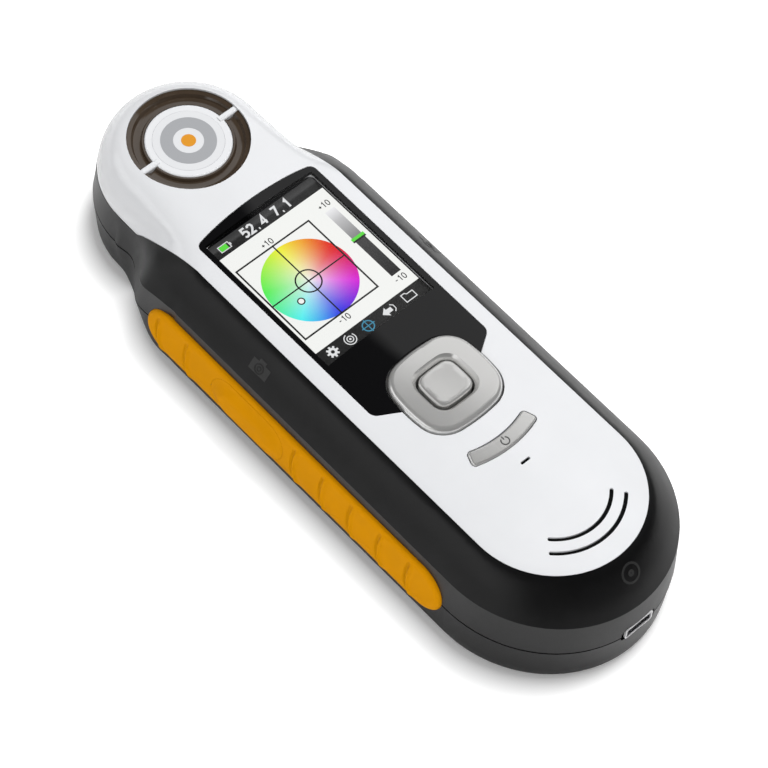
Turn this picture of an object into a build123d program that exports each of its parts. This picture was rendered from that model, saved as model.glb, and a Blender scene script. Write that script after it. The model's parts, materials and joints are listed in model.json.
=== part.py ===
from build123d import *
import math
import os

# Handheld colour meter, millimetres.
# Frame: +Z up out of the face, +Y towards the measuring head, +X to the user's right.
# Origin of the finished parts: on the table plane, below the middle of the overall length.
# The functions below draw in a frame shifted by MIDDLE_Y along the length; the last loop centres it.

# --- driving dimensions -------------------------------------------------------
TAIL_Y = -54.0            # centre of the rounded tail
HEAD_Y = 63.8             # centre of the round measuring head
NECK_FROM_Y = 35.2        # where the body section starts to change into the head section
FOOT_HEIGHT = 0.5         # rubber feet stand this far below the lower shell
PARTING_Z = 12.4          # joint plane of the two shells
PARTING_GAP = 0.15        # half of the shadow gap between the shells
WALL = 1.8                # shell wall thickness
FLOOR_Z = FOOT_HEIGHT + 2.4    # inside of the lower shell's floor

BODY_HALF_PARTING = 28.9  # half width of the body at the joint plane
BODY_HALF_BASE = 28.5     # half width of the body near the table
HEAD_R_PARTING = 21.6     # radius of the head at the joint plane
HEAD_R_BASE = 20.7        # radius of the head near the table
BASE_EDGE_R = 2.0         # rounding between side wall and underside
TAIL_STRETCH = 1.05       # the rounded tail is this much longer than a half circle
TAIL_END_Y = TAIL_Y - BODY_HALF_PARTING * TAIL_STRETCH
MIDDLE_Y = (HEAD_Y + HEAD_R_PARTING + TAIL_END_Y) / 2   # middle of the overall length

# Half sections of the top skin, from the centre line out to the side crease.
BODY_TOP = [(0, 32.8), (8, 32.6), (14.4, 32.15), (18.3, 31.65), (21.0, 31.05),
            (23.6, 28.75), (25.9, 25.9), (28.2, 22.4)]
HEAD_TOP = [(0, 33.7), (9, 33.6), (14.6, 32.9), (18.7, 29.3), (20.6, 22.7),
            (20.8, 20.6), (20.95, 18.6), (21.1, 16.8)]

COVER_HALF = 21.0         # half width of the white face cover
COVER_HEAD_R = 20.6       # radius of the white cap on the head
COVER_FLOOR_Z = 21.6      # lowest level of the cap's skirt
COVER_GAP = 0.1           # seam between cover and upper shell
COVER_THICK = 1.7
SKIN_LOW_Z = 14.0         # level where layers of the top skin are cut off, below every crease

WINDOW_HALF = 17.1        # display window
WINDOW_TOP_Y = 42.6
WINDOW_CORNER_Y = 41.2
WINDOW_LOW_Y = -16.2
WINDOW_WING_HALF = 11.0
WINDOW_END_Y = -20.2
WINDOW_SINK = 0.12
WINDOW_THICK = 1.0
WINDOW_LEDGE = 1.3

NAV_Y = -20.8             # centre of the four-way pad
NAV_W, NAV_H = 22.8, 21.6
NAV_TOP_Z = 33.8
NAV_GAP = 0.4
NAV_TILT_Z = 28.5         # axis of the left and right rocking
GIMBAL_TILT_Z = 27.1      # axis of the up and down rocking
PIVOT_R = 0.5
PIVOT_CLEAR = 0.05
SELECT_W, SELECT_H = 10.3, 9.5
SELECT_TOP_Z = 33.5

POWER_Y = -39.6           # lowest point of the curved power bar's centre line
POWER_R = 26.0            # bend radius of the bar
POWER_HALF_ANGLE = 20.0
POWER_BAR = 3.6           # width of the bar
POWER_TOP_Z = 33.0
KEY_GAP = 0.25
KEY_FOOT_Z = 25.9         # lower end of the key stems, clear of the mat for their stroke

SPEAKER_SLOTS = [(12.85, 48.0), (16.05, 46.0)]   # radius about the tail centre, half angle
SLOT_W = 0.9
SPEAKER_Y, SPEAKER_R, SPEAKER_TOP_Z = -64.0, 8.5, 28.6
MIC_Y = -45.9

RING_OUTER_R = 14.05      # smoked target ring
HUB_R = 10.0
HUB_TOP_Z = 32.3
BRIDGE_W = 1.6
BADGE_R = 8.2

GRIP_FROM_Y, GRIP_TO_Y = -52.8, 43.4
GRIP_LOW_Z, GRIP_HIGH_Z = 5.4, 19.6
GRIP_MID_Z = (GRIP_LOW_Z + GRIP_HIGH_Z) / 2
GRIP_PROUD = 1.0          # how far the grip stands out of the wall
GRIP_DEPTH = 1.3          # how deep it is let into the wall
GRIP_SEAM = 0.08
RIB_YS = (38.6, 29.2, -6.6, -15.8, -25.0, -34.2, -43.4)
MEASURE_Y = 9.0           # centre of the side measure buttons
MEASURE_LONG, MEASURE_TALL = 23.6, 11.6
MEASURE_PROUD = 1.5
MEASURE_STEM_R = 0.8
MEASURE_STEM_Z = 17.4
MEASURE_STEM_END_X = 24.5

KEY_BOARD_Z, KEY_BOARD_THICK = 22.6, 1.2
BOARD_Z, BOARD_THICK, BOARD_HALF, BOARD_END_Y = 14.8, 1.6, 24.0, 38.0
BOARD_TOP_Z = BOARD_Z + BOARD_THICK
BOARD_POSTS = [(-20.0, -45.0), (20.0, -45.0), (-20.0, -2.0), (20.0, -2.0)]
SPACER_SPOTS = [(-12.0, -45.5), (12.0, -45.5), (-12.0, -10.5), (12.0, -10.5)]
DISPLAY_W, DISPLAY_H = 30.8, 40.0     # lit area
DISPLAY_Y = 19.6                      # centre of the lit area
DISPLAY_TOP_Z = 29.6
PANEL_HALF, PANEL_LOW_Y, PANEL_HIGH_Y = 16.6, -4.2, 42.5

PORT_HALF, PORT_LOW_Z, PORT_HIGH_Z = 5.0, 10.9, 14.3
USB_HALF, USB_FROM_Y, USB_TO_Y = 3.9, -84.0, -75.0
USB_LOW_Z, USB_HIGH_Z, USB_SHEET = PORT_LOW_Z + 0.2, PORT_HIGH_Z - 0.2, 0.35

APERTURE_R = 6.0
HEAD_FLOOR_Z = 4.1        # inside of the thick floor under the head
TRACK_LOW_Z, TRACK_HIGH_Z = 1.2, 2.65
SLIDER_HALF, SLIDER_LONG = 11.0, 25.0
SLIDER_LOW_Z, SLIDER_HIGH_Z = 1.25, 2.55
SLIDER_TRAVEL = 16.0
SLIDER_LIP = 1.2          # how far the rails reach under the slider
SLIDER_GAP = 0.1
TILE_R = 5.2

SCREW_SPOTS = [(-15.0, -70.5), (15.0, -70.5), (-21.5, 33.5), (21.5, 33.5)]
SCREW_R, SCREW_HEAD_R, SCREW_SEAT_Z = 1.05, 2.1, 5.0
FOOT_SPOTS = [(-17.5, -56.0), (17.5, -56.0), (-19.0, 24.0), (19.0, 24.0), (-15.0, 66.0), (15.0, 66.0)]
FOOT_R, FOOT_DEPTH = 2.6, 0.8

BAY_HALF, BAY_FROM_Y, BAY_TO_Y, BAY_TOP_Z = 14.2, -41.2, 5.2, 10.2
BAY_WALL = 1.2
DOOR_HALF, DOOR_FROM_Y, DOOR_TO_Y = 16.5, -49.0, 8.0
DOOR_THICK = 1.5
DOOR_GAP = 0.12
DOOR_SCREW_Y = -45.4
CONTACT_XS = (-5.0, 0.0, 5.0)
CONTACT_Y = 2.5
PCB_SCREW_R = 0.8


# --- outlines and skins -------------------------------------------------------
def ease(value, start, end):
    """Smooth 0 to 1 step between start and end."""
    t = min(max((value - start) / (end - start), 0.0), 1.0)
    return t * t * (3 - 2 * t)


def neck_shares(y):
    """How far the joint plane, crease, crown and base have gone from body to head at y."""
    parting = ease(y, 46.8, 58.6)
    crease = ease(y, 45.6, 58.2)
    height = ease(y, NECK_FROM_Y, 61.5)
    base = ease(y, 40.5, HEAD_Y)
    return parting, crease, height, base


def inset_points(points, inset):
    """The points of a half section moved inwards by inset, square to the skin."""
    moved = []
    for i, (x, z) in enumerate(points):
        before = points[i - 1] if i > 0 else (-points[1][0], points[1][1])
        after = points[i + 1] if i + 1 < len(points) else (x + 0.1, z - 1.0)
        dx, dz = after[0] - before[0], after[1] - before[1]
        length = math.hypot(dx, dz)
        moved.append((x + inset * dz / length, z - inset * dx / length))
    return moved


def top_half_points(y, inset):
    _, width, height, _ = neck_shares(y)
    points = [(bx + (hx - bx) * width, bz + (hz - bz) * height)
              for (bx, bz), (hx, hz) in zip(BODY_TOP, HEAD_TOP)]
    return inset_points(points, inset) if inset else points


def parting_half(y, inset):
    width, _, _, _ = neck_shares(y)
    return BODY_HALF_PARTING + (HEAD_R_PARTING - BODY_HALF_PARTING) * width - inset


def base_half(y, inset):
    _, _, _, base = neck_shares(y)
    return BODY_HALF_BASE + (HEAD_R_BASE - BODY_HALF_BASE) * base - inset


def upper_half_edges(y, inset, side, low_z):
    """Edges from the crown to the joint plane on one side, in the plane at y."""
    points = top_half_points(y, inset)
    spots = [(side * x, y, z) for x, z in points]
    wall_x = parting_half(y, inset)
    crease_x, crease_z = points[-1]
    steep = (side * (points[-1][0] - points[-2][0]), 0, points[-1][1] - points[-2][1])
    skin = Spline(*spots, tangents=[(side, 0, 0), steep])
    reach = (crease_z - low_z) / (crease_z - PARTING_Z)
    low_x = crease_x + (wall_x - crease_x) * reach
    wall = Line((side * crease_x, y, crease_z), (side * low_x, y, low_z))
    return [skin, wall], (side * low_x, y, low_z), (0, y, points[0][1])


def lower_half_edges(y, inset, side, high_z, floor_z):
    """Edges from the joint plane down to the middle of the underside on one side."""
    wall_x = parting_half(y, inset)
    base_x = base_half(y, inset)
    turn_z = floor_z + BASE_EDGE_R
    reach = (high_z - turn_z) / (PARTING_Z - turn_z)
    top_x = base_x + (wall_x - base_x) * reach
    lean = (side * (base_x - top_x), 0, turn_z - high_z)
    wall = Line((side * top_x, y, high_z), (side * base_x, y, turn_z))
    corner = TangentArc((side * base_x, y, turn_z), (side * (base_x - BASE_EDGE_R), y, floor_z),
                        tangent=lean)
    floor = Line((side * (base_x - BASE_EDGE_R), y, floor_z), (0, y, floor_z))
    return [wall, corner, floor], (side * top_x, y, high_z), (0, y, floor_z)


def section_face(y, half_edges):
    """Closed symmetric section at y from a function of the side."""
    right, right_end, middle = half_edges(y, 1)
    left, left_end, _ = half_edges(y, -1)
    closing = Line(right_end, left_end)
    return Face(Wire(right + left + [closing])), middle


def half_face(y, half_edges):
    """Half section at y, closed along the vertical axis through x = 0."""
    right, right_end, middle = half_edges(y, 1)
    axis_end = (0, y, right_end[2])
    return Face(Wire(right + [Line(right_end, axis_end), Line(axis_end, middle)]))


def instrument_solid(half_edges):
    """Round tail, straight body, lofted neck and round head, from one half section function."""
    tail = revolve(half_face(0, half_edges), Axis((0, 0, 0), (0, 0, -1)), 180)
    tail = Pos(0, TAIL_Y, 0) * scale(tail, by=(1, TAIL_STRETCH, 1))
    body_face, _ = section_face(TAIL_Y, half_edges)
    body = Solid.extrude(body_face, Vector(0, NECK_FROM_Y - TAIL_Y, 0))
    stations = [NECK_FROM_Y, 38.5, 42.0, 45.0, 47.5, 50.0, 52.5, 55.0, 57.5, 60.3, HEAD_Y]
    neck = loft([section_face(y, half_edges)[0] for y in stations])
    head = revolve(half_face(HEAD_Y, half_edges), Axis((0, HEAD_Y, 0), (0, 0, 1)), 180)
    return tail + body + neck + head


def upper_solid(inset, low_z=PARTING_Z):
    return instrument_solid(lambda y, side: upper_half_edges(y, inset, side, low_z))


def lower_solid(inset, high_z=PARTING_Z, floor_z=FOOT_HEIGHT):
    return instrument_solid(lambda y, side: lower_half_edges(y, inset, side, high_z, floor_z))


def column(outline, from_z, to_z):
    """Straight prism of a flat outline between two levels."""
    prism = Part()
    for face in outline.faces():
        prism += Solid.extrude(Pos(0, 0, from_z) * face, Vector(0, 0, to_z - from_z))
    return prism


def cover_outline(grow):
    """Plan of the face cover: round tail, long sides, round head."""
    half, head_r = COVER_HALF + grow, COVER_HEAD_R + grow
    edges = [
        ThreePointArc((half, TAIL_Y), (0, TAIL_Y - half), (-half, TAIL_Y)),
        Line((-half, TAIL_Y), (-half, NECK_FROM_Y)),
        Line((-half, NECK_FROM_Y), (-head_r, HEAD_Y)),
        ThreePointArc((-head_r, HEAD_Y), (0, HEAD_Y + head_r), (head_r, HEAD_Y)),
        Line((head_r, HEAD_Y), (half, NECK_FROM_Y)),
        Line((half, NECK_FROM_Y), (half, TAIL_Y)),
    ]
    return Face(Wire(edges))


def pillow_outline(width, height, bulge, corner_r, centre_y):
    """Rectangle whose sides bow outwards, with round corners."""
    x, y = width / 2, height / 2
    ix, iy = x - bulge, y - bulge
    sides = [
        ThreePointArc((-ix, -iy), (0, -y), (ix, -iy)),
        ThreePointArc((ix, -iy), (x, 0), (ix, iy)),
        ThreePointArc((ix, iy), (0, y), (-ix, iy)),
        ThreePointArc((-ix, iy), (-x, 0), (-ix, -iy)),
    ]
    face = Face(Wire(sides))
    rounded = fillet(face.vertices(), corner_r)
    return Pos(0, centre_y) * rounded


def window_outline(grow):
    """Plan of the display window: arched top, straight sides, wings sloping in to the pad."""
    half = WINDOW_HALF + grow
    wing = WINDOW_WING_HALF + grow
    low, end, top = WINDOW_LOW_Y - grow, WINDOW_END_Y - grow, WINDOW_TOP_Y + grow
    corner = WINDOW_CORNER_Y + grow
    arch = ThreePointArc((half, corner), (0, top), (-half, corner))
    path = Polyline((-half, corner), (-half, low), (-wing, end), (wing, end), (half, low), (half, corner))
    face = Face(Wire([arch] + path.edges()))
    upper = [v for v in face.vertices() if v.Y > 0]
    face = fillet(upper, 1.6)
    lower = [v for v in face.vertices() if end + 0.5 < v.Y < 0]
    return fillet(lower, 2.5)


def arc_bar_outline(centre, radius, half_angle, width, corner_r):
    """Bar bent along an arc that opens upwards, with round corners."""
    inner, outer = radius - width / 2, radius + width / 2
    cx, cy = centre

    def spot(r, degrees):
        angle = math.radians(degrees - 90)
        return (cx + r * math.cos(angle), cy + r * math.sin(angle))

    face = Face(Wire([
        ThreePointArc(spot(outer, -half_angle), spot(outer, 0), spot(outer, half_angle)),
        Line(spot(outer, half_angle), spot(inner, half_angle)),
        ThreePointArc(spot(inner, half_angle), spot(inner, 0), spot(inner, -half_angle)),
        Line(spot(inner, -half_angle), spot(outer, -half_angle)),
    ]))
    return fillet(face.vertices(), corner_r)


def nav_outline(grow):
    return pillow_outline(NAV_W + 2 * grow, NAV_H + 2 * grow, 1.3, 7.0 + grow, NAV_Y)


def select_outline(grow):
    return pillow_outline(SELECT_W + 2 * grow, SELECT_H + 2 * grow, 0.35, 2.4 + grow, NAV_Y)


def power_outline(grow):
    grow_angle = math.degrees(grow / POWER_R)
    return arc_bar_outline((0, POWER_Y + POWER_R), POWER_R, POWER_HALF_ANGLE + grow_angle,
                           POWER_BAR + 2 * grow, 0.9 + grow)


def side_outline(from_y, to_y, low_z, high_z):
    """Long rounded outline seen from the side, in the plane x = 0."""
    radius = (high_z - low_z) / 2
    mid_z = (low_z + high_z) / 2
    start, end = from_y + radius, to_y - radius
    edges = [
        Line((0, start, high_z), (0, end, high_z)),
        ThreePointArc((0, end, high_z), (0, to_y, mid_z), (0, end, low_z)),
        Line((0, end, low_z), (0, start, low_z)),
        ThreePointArc((0, start, low_z), (0, from_y, mid_z), (0, start, high_z)),
    ]
    return Face(Wire(edges))


def side_prism(from_y, to_y, low_z, high_z, from_x, to_x):
    face = Pos(from_x, 0, 0) * side_outline(from_y, to_y, low_z, high_z)
    return Solid.extrude(face, Vector(to_x - from_x, 0, 0))


def wall_slab(inner, outer):
    """Length of the body's side wall on +X: a bowed slab between two depths from the skin."""
    high_x, mid_x, low_x = 28.3, 28.85, 28.6
    high_z, mid_z, low_z = 21.0, 13.0, 4.4

    def bowed(depth):
        return ThreePointArc((high_x + depth, high_z), (mid_x + depth, mid_z), (low_x + depth, low_z))

    low = Line((low_x + outer, low_z), (low_x + inner, low_z))
    high = Line((high_x + inner, high_z), (high_x + outer, high_z))
    flat = Face(Wire([bowed(outer), low, bowed(inner), high]))
    standing = Plane((0, GRIP_FROM_Y - 2, 0), x_dir=(1, 0, 0), z_dir=(0, -1, 0)) * flat
    return Solid.extrude(standing, Vector(0, GRIP_TO_Y - GRIP_FROM_Y + 4, 0))


def mirrored(shape):
    return mirror(shape, about=Plane.YZ)


def rod(radius, start, end):
    """Round rod between two points."""
    a, b = Vector(*start), Vector(*end)
    length = (b - a).length
    plane = Plane(origin=a, z_dir=(b - a).normalized())
    return plane * Cylinder(radius, length, align=(Align.CENTER, Align.CENTER, Align.MIN))


def block(from_x, to_x, from_y, to_y, from_z, to_z):
    size = (to_x - from_x, to_y - from_y, to_z - from_z)
    middle = ((from_x + to_x) / 2, (from_y + to_y) / 2, (from_z + to_z) / 2)
    return Pos(*middle) * Box(*size)


def disc(radius, centre, from_z, to_z):
    return Pos(centre[0], centre[1], from_z) * Cylinder(
        radius, to_z - from_z, align=(Align.CENTER, Align.CENTER, Align.MIN))


def tube(outer_r, inner_r, centre, from_z, to_z):
    return disc(outer_r, centre, from_z, to_z) - disc(inner_r, centre, from_z, to_z)

# --- housings -----------------------------------------------------------------
def shell_layer(from_depth, to_depth):
    """Layer of the top skin between two depths."""
    return upper_solid(from_depth, SKIN_LOW_Z) - upper_solid(to_depth, SKIN_LOW_Z)


def grip_pocket():
    """Recess for the right grip through both shells."""
    slab = wall_slab(-GRIP_DEPTH, 4.0)
    window = side_prism(GRIP_FROM_Y - GRIP_SEAM, GRIP_TO_Y + GRIP_SEAM,
                        GRIP_LOW_Z - GRIP_SEAM, GRIP_HIGH_Z + GRIP_SEAM, 20.0, 40.0)
    return slab & window


def stem_hole():
    """Hole through the right wall for the stem of the measure button."""
    return rod(MEASURE_STEM_R + 0.3, (20.0, MEASURE_Y, MEASURE_STEM_Z),
               (32.0, MEASURE_Y, MEASURE_STEM_Z))


def port_opening():
    hole = block(-PORT_HALF, PORT_HALF, TAIL_END_Y - 2.0, TAIL_END_Y + 4.0, PORT_LOW_Z, PORT_HIGH_Z)
    return fillet(hole.edges().filter_by(Axis.Y), 0.9)


def cover_ledge():
    """Ledge inside the upper shell that carries the edge of the face cover."""
    top_depth, low_depth = WALL - 0.05, WALL + 1.35
    layer = shell_layer(top_depth, low_depth)
    ring = column(cover_outline(1.5), 19.0, 40.0) - column(cover_outline(-2.2), 18.0, 41.0)
    return layer & ring


def upper_bosses():
    """Screw posts under the top skin."""
    bosses = Part()
    for x, y in SCREW_SPOTS:
        bosses += tube(2.6, SCREW_R + 0.05, (x, y), PARTING_Z + PARTING_GAP, 24.0)
        bosses += disc(2.6, (x, y), 23.5, 32.0)
    return bosses & upper_solid(WALL - 0.05)


def upper_shell():
    low_z = PARTING_Z + PARTING_GAP
    shell = upper_solid(0, low_z) - upper_solid(WALL, low_z)
    shell -= column(cover_outline(COVER_GAP), COVER_FLOOR_Z - COVER_GAP, 40.0)
    shell += cover_ledge()
    shell += upper_bosses()
    for tool in (grip_pocket(), stem_hole()):
        shell -= tool
        shell -= mirrored(tool)
    return shell - port_opening()


def sound_slots():
    """Microphone slot and the two curved speaker slots."""
    long_r = 60.0
    tools = column(arc_bar_outline((0, MIC_Y + long_r), long_r, 1.25, 0.7, 0.3), 26.0, 40.0)
    for radius, half_angle in SPEAKER_SLOTS:
        slot = arc_bar_outline((0, TAIL_Y), radius, half_angle, SLOT_W, 0.42)
        tools += column(slot, 26.0, 40.0)
    return tools


def hub():
    """White hub inside the target ring, held by two bridges."""
    centre = (0, HEAD_Y)
    low_z = HUB_TOP_Z - 1.9
    dish = disc(HUB_R, centre, low_z, HUB_TOP_Z)
    dish = fillet(dish.edges().filter_by(GeomType.CIRCLE).sort_by(Axis.Z)[-1], 0.4)
    dish -= disc(BADGE_R + 0.05, centre, HUB_TOP_Z - 0.5, HUB_TOP_Z + 1.0)
    bridge = block(HUB_R - 1.0, RING_OUTER_R + 0.6, HEAD_Y - BRIDGE_W / 2, HEAD_Y + BRIDGE_W / 2,
                   low_z, HUB_TOP_Z + 0.3)
    bridge = fillet(bridge.edges().filter_by(Axis.X).sort_by(Axis.Z)[-2:], 0.5)
    return dish + bridge + mirrored(bridge)


def face_cover():
    cover = shell_layer(0, COVER_THICK) & column(cover_outline(0), COVER_FLOOR_Z, 40.0)
    cover -= column(window_outline(-WINDOW_LEDGE), 24.0, 40.0)
    lens_seat = column(window_outline(COVER_GAP), SKIN_LOW_Z + 1.0, 40.0)
    cover -= lens_seat - upper_solid(WINDOW_SINK + WINDOW_THICK + 0.02, SKIN_LOW_Z)
    cover -= column(nav_outline(NAV_GAP), 24.0, 40.0)
    cover -= column(power_outline(KEY_GAP), 24.0, 40.0)
    cover -= sound_slots()
    cover -= disc(RING_OUTER_R, (0, HEAD_Y), 24.0, 40.0)
    return cover + hub()


def screen_window():
    layer = shell_layer(WINDOW_SINK, WINDOW_SINK + WINDOW_THICK)
    lens = layer & column(window_outline(0), 20.0, 40.0)
    return lens - column(nav_outline(NAV_GAP), 24.0, 40.0)


def hub_badge():
    return disc(BADGE_R, (0, HEAD_Y), HUB_TOP_Z - 0.48, HUB_TOP_Z + 0.02)


def target_ring_window():
    """Smoked ring around the hub: a stepped trough with two notches for the bridges."""
    inner, outer = HUB_R + 0.08, RING_OUTER_R - 0.05
    floor_z, collar_z = HUB_TOP_Z - 2.8, HUB_TOP_Z - 0.15
    profile = Polyline((inner, floor_z), (outer, floor_z), (outer, HUB_TOP_Z + 0.3),
                       (outer - 1.0, HUB_TOP_Z), (outer - 1.5, HUB_TOP_Z - 0.8),
                       (outer - 2.3, HUB_TOP_Z - 1.0), (inner + 0.8, HUB_TOP_Z - 0.9),
                       (inner + 0.4, collar_z), (inner, collar_z), (inner, floor_z))
    upright = Plane((0, HEAD_Y, 0), x_dir=(1, 0, 0), z_dir=(0, -1, 0))
    ring = revolve(upright * Face(Wire(profile.edges())), Axis((0, HEAD_Y, 0), (0, 0, 1)), 360)
    notch = BRIDGE_W / 2 + 0.1
    return ring - block(-20.0, 20.0, HEAD_Y - notch, HEAD_Y + notch, HUB_TOP_Z - 2.0, 40.0)


def screw_seat(x, y):
    """Through hole and counterbore of one case screw, from below."""
    return disc(SCREW_R + 0.2, (x, y), -1.0, 20.0) + disc(SCREW_HEAD_R + 0.3, (x, y), -1.0, SCREW_SEAT_Z)


def slider_track():
    """Track of the calibration slider with the open slot between its rails."""
    half = SLIDER_HALF + SLIDER_GAP
    end_y = HEAD_Y + SLIDER_LONG / 2 + 0.2
    start_y = HEAD_Y - SLIDER_LONG / 2 - SLIDER_TRAVEL - 0.2
    slot_half = SLIDER_HALF - SLIDER_LIP
    track = block(-half, half, start_y, end_y, TRACK_LOW_Z, TRACK_HIGH_Z)
    return track + block(-slot_half, slot_half, start_y, end_y, -1.0, TRACK_LOW_Z + 0.1)


def lower_shell():
    top_z = PARTING_Z - PARTING_GAP
    shell = lower_solid(0, top_z) - lower_solid(WALL, top_z, FLOOR_Z)
    inside = lower_solid(WALL - 0.05, top_z)
    lip_top = PARTING_Z + 1.0
    lip = lower_solid(WALL + 0.08, lip_top, 8.0) - lower_solid(WALL + 0.9, lip_top, 7.0)
    lip_root = lower_solid(WALL - 0.05, top_z, 8.0) - lower_solid(WALL + 0.9, top_z, 7.0)
    shell += lip_root + lip
    for x, y in SCREW_SPOTS:
        shell += disc(3.4, (x, y), FLOOR_Z - 1.0, top_z) & inside
    shell += block(-BAY_HALF - BAY_WALL, BAY_HALF + BAY_WALL, BAY_FROM_Y - BAY_WALL,
                   BAY_TO_Y + BAY_WALL, FLOOR_Z - 1.0, BAY_TOP_Z + BAY_WALL)
    shell += disc(2.8, (0, DOOR_SCREW_Y), FLOOR_Z - 1.0, 8.0)
    for x, y in BOARD_POSTS:
        shell += disc(2.2, (x, y), FLOOR_Z - 1.0, BOARD_Z)
        shell -= disc(PCB_SCREW_R + 0.05, (x, y), 8.0, 20.0)
    shell += block(-14.0, 14.0, HEAD_Y - 30.5, HEAD_Y + 15.0, FLOOR_Z - 1.0, HEAD_FLOOR_Z) & inside
    for x, y in SCREW_SPOTS:
        shell -= screw_seat(x, y)
    for x, y in FOOT_SPOTS:
        shell -= disc(FOOT_R + 0.05, (x, y), -1.0, FOOT_HEIGHT + FOOT_DEPTH)
    shell -= door_space()
    shell -= block(-BAY_HALF, BAY_HALF, BAY_FROM_Y, BAY_TO_Y, 0.0, BAY_TOP_Z)
    for x in CONTACT_XS:
        shell -= disc(0.75, (x, CONTACT_Y), 9.0, 13.0)
    shell -= disc(PCB_SCREW_R + 0.05, (0, DOOR_SCREW_Y), 0.0, 7.8)
    shell -= slider_track()
    shell -= disc(APERTURE_R, (0, HEAD_Y), -1.0, 20.0)
    shell -= disc(APERTURE_R + 2.0, (0, HEAD_Y), HEAD_FLOOR_Z - 0.8, 20.0)
    for tool in (grip_pocket(), stem_hole()):
        shell -= tool
        shell -= mirrored(tool)
    return shell - port_opening()


def door_plate(grow):
    half = DOOR_HALF + grow
    outline = RectangleRounded(2 * half, DOOR_TO_Y - DOOR_FROM_Y + 2 * grow, 2.5)
    return Pos(0, (DOOR_FROM_Y + DOOR_TO_Y) / 2) * outline


def door_space():
    """Recess of the battery cover, with the slot for its tongue."""
    space = column(door_plate(DOOR_GAP), -1.0, FOOT_HEIGHT + DOOR_THICK + 0.1)
    return space + block(-6.2, 6.2, DOOR_TO_Y - 1.0, DOOR_TO_Y + 1.9, 1.1, 2.1)


def battery_cover():
    plate = column(door_plate(0), FOOT_HEIGHT, FOOT_HEIGHT + DOOR_THICK)
    plate += block(-6.0, 6.0, DOOR_TO_Y - 1.0, DOOR_TO_Y + 1.7, 1.2, 2.0)
    plate -= disc(PCB_SCREW_R + 0.1, (0, DOOR_SCREW_Y), -1.0, 5.0)
    plate -= disc(2.1, (0, DOOR_SCREW_Y), -1.0, 1.35)
    for x in (-9.0, -6.0, -3.0, 0.0, 3.0, 6.0, 9.0):
        plate -= block(x - 0.5, x + 0.5, -6.0, 4.0, 0.0, FOOT_HEIGHT + 0.35)
    return plate


def battery_pack():
    cell = block(-13.6, 13.6, -40.6, 4.6, 2.15, 9.9)
    return fillet(cell.edges().filter_by(Axis.Y), 1.5)


def battery_contacts():
    pins = Part()
    for x in CONTACT_XS:
        pins += disc(0.7, (x, CONTACT_Y), 10.6, BOARD_Z)
        pins += disc(0.45, (x, CONTACT_Y), 9.95, 10.6)
    return pins


# --- grips and side buttons -----------------------------------------------------
def rib(y):
    """One low curved ridge across the right grip."""
    bar = arc_bar_outline((0, 0), 15.0, 17.0, 1.3, 0.6)
    outline = Plane((0, y, GRIP_MID_Z), x_dir=(0, 0, 1), z_dir=(1, 0, 0)) * (Pos(0, 15.0) * bar)
    ridge = Part()
    for face in (Pos(20, 0, 0) * outline).faces():
        ridge += Solid.extrude(face, Vector(20, 0, 0))
    return ridge & wall_slab(-0.5, GRIP_PROUD + 0.3)


def grip_right():
    body = wall_slab(-GRIP_DEPTH + 0.03, GRIP_PROUD)
    body &= side_prism(GRIP_FROM_Y, GRIP_TO_Y, GRIP_LOW_Z, GRIP_HIGH_Z, 20.0, 40.0)
    rim = [e for e in body.edges() if e.center().X > BODY_HALF_PARTING - 0.4 and e.length > 5]
    body = fillet(rim, 0.85)
    for y in RIB_YS:
        body += rib(y)
    return body - button_prism(0.15)


def button_prism(grow):
    half_long, half_tall = MEASURE_LONG / 2 + grow, MEASURE_TALL / 2 + grow
    return side_prism(MEASURE_Y - half_long, MEASURE_Y + half_long,
                      GRIP_MID_Z - half_tall, GRIP_MID_Z + half_tall, 20.0, 40.0)


def measure_button_right():
    cap = wall_slab(-0.3, MEASURE_PROUD) & button_prism(0)
    rim = [e for e in cap.edges() if e.center().X > BODY_HALF_PARTING + 0.6 and e.length > 5]
    cap = fillet(rim, 0.8)
    stem = rod(MEASURE_STEM_R, (MEASURE_STEM_END_X, MEASURE_Y, MEASURE_STEM_Z),
               (BODY_HALF_PARTING, MEASURE_Y, MEASURE_STEM_Z))
    return cap + stem


def side_switches():
    body = block(19.6, 23.0, MEASURE_Y - 3.0, MEASURE_Y + 3.0, BOARD_TOP_Z, 20.0)
    body += rod(0.7, (22.9, MEASURE_Y, MEASURE_STEM_Z), (23.6, MEASURE_Y, MEASURE_STEM_Z))
    return body + mirrored(body)


# --- keys -----------------------------------------------------------------------
def nav_ring():
    """Four-way pad: dished ring with a hidden flange, four plungers and two pivots."""
    cap = column(nav_outline(0), 29.4, NAV_TOP_Z)
    cap = fillet(cap.edges().group_by(Axis.Z)[-1], 1.3)
    ring = cap + column(nav_outline(1.1), 29.0, 29.8)
    ring -= column(select_outline(0.55), 20.0, 40.0)
    rim = ring.edges().filter_by(lambda e: abs(e.center().Z - NAV_TOP_Z) < 0.01)
    inner_rim = [e for e in rim if math.hypot(e.center().X, e.center().Y - NAV_Y) < 6.5]
    ring = chamfer(inner_rim, 0.9, 1.3)
    for x, y in ((9.6, 0), (-9.6, 0), (0, 9.0), (0, -9.0)):
        ring += disc(1.0, (x, NAV_Y + y), KEY_FOOT_Z, 29.2)
    for side in (-1, 1):
        near, far = NAV_Y + side * 6.1, NAV_Y + side * 7.6
        web = block(-0.35, 0.35, min(near, far) + 0.1, max(near, far) - 0.1, NAV_TILT_Z - 0.2, 29.3)
        ring += web + rod(PIVOT_R, (0, near, NAV_TILT_Z), (0, far, NAV_TILT_Z))
    return ring


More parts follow.
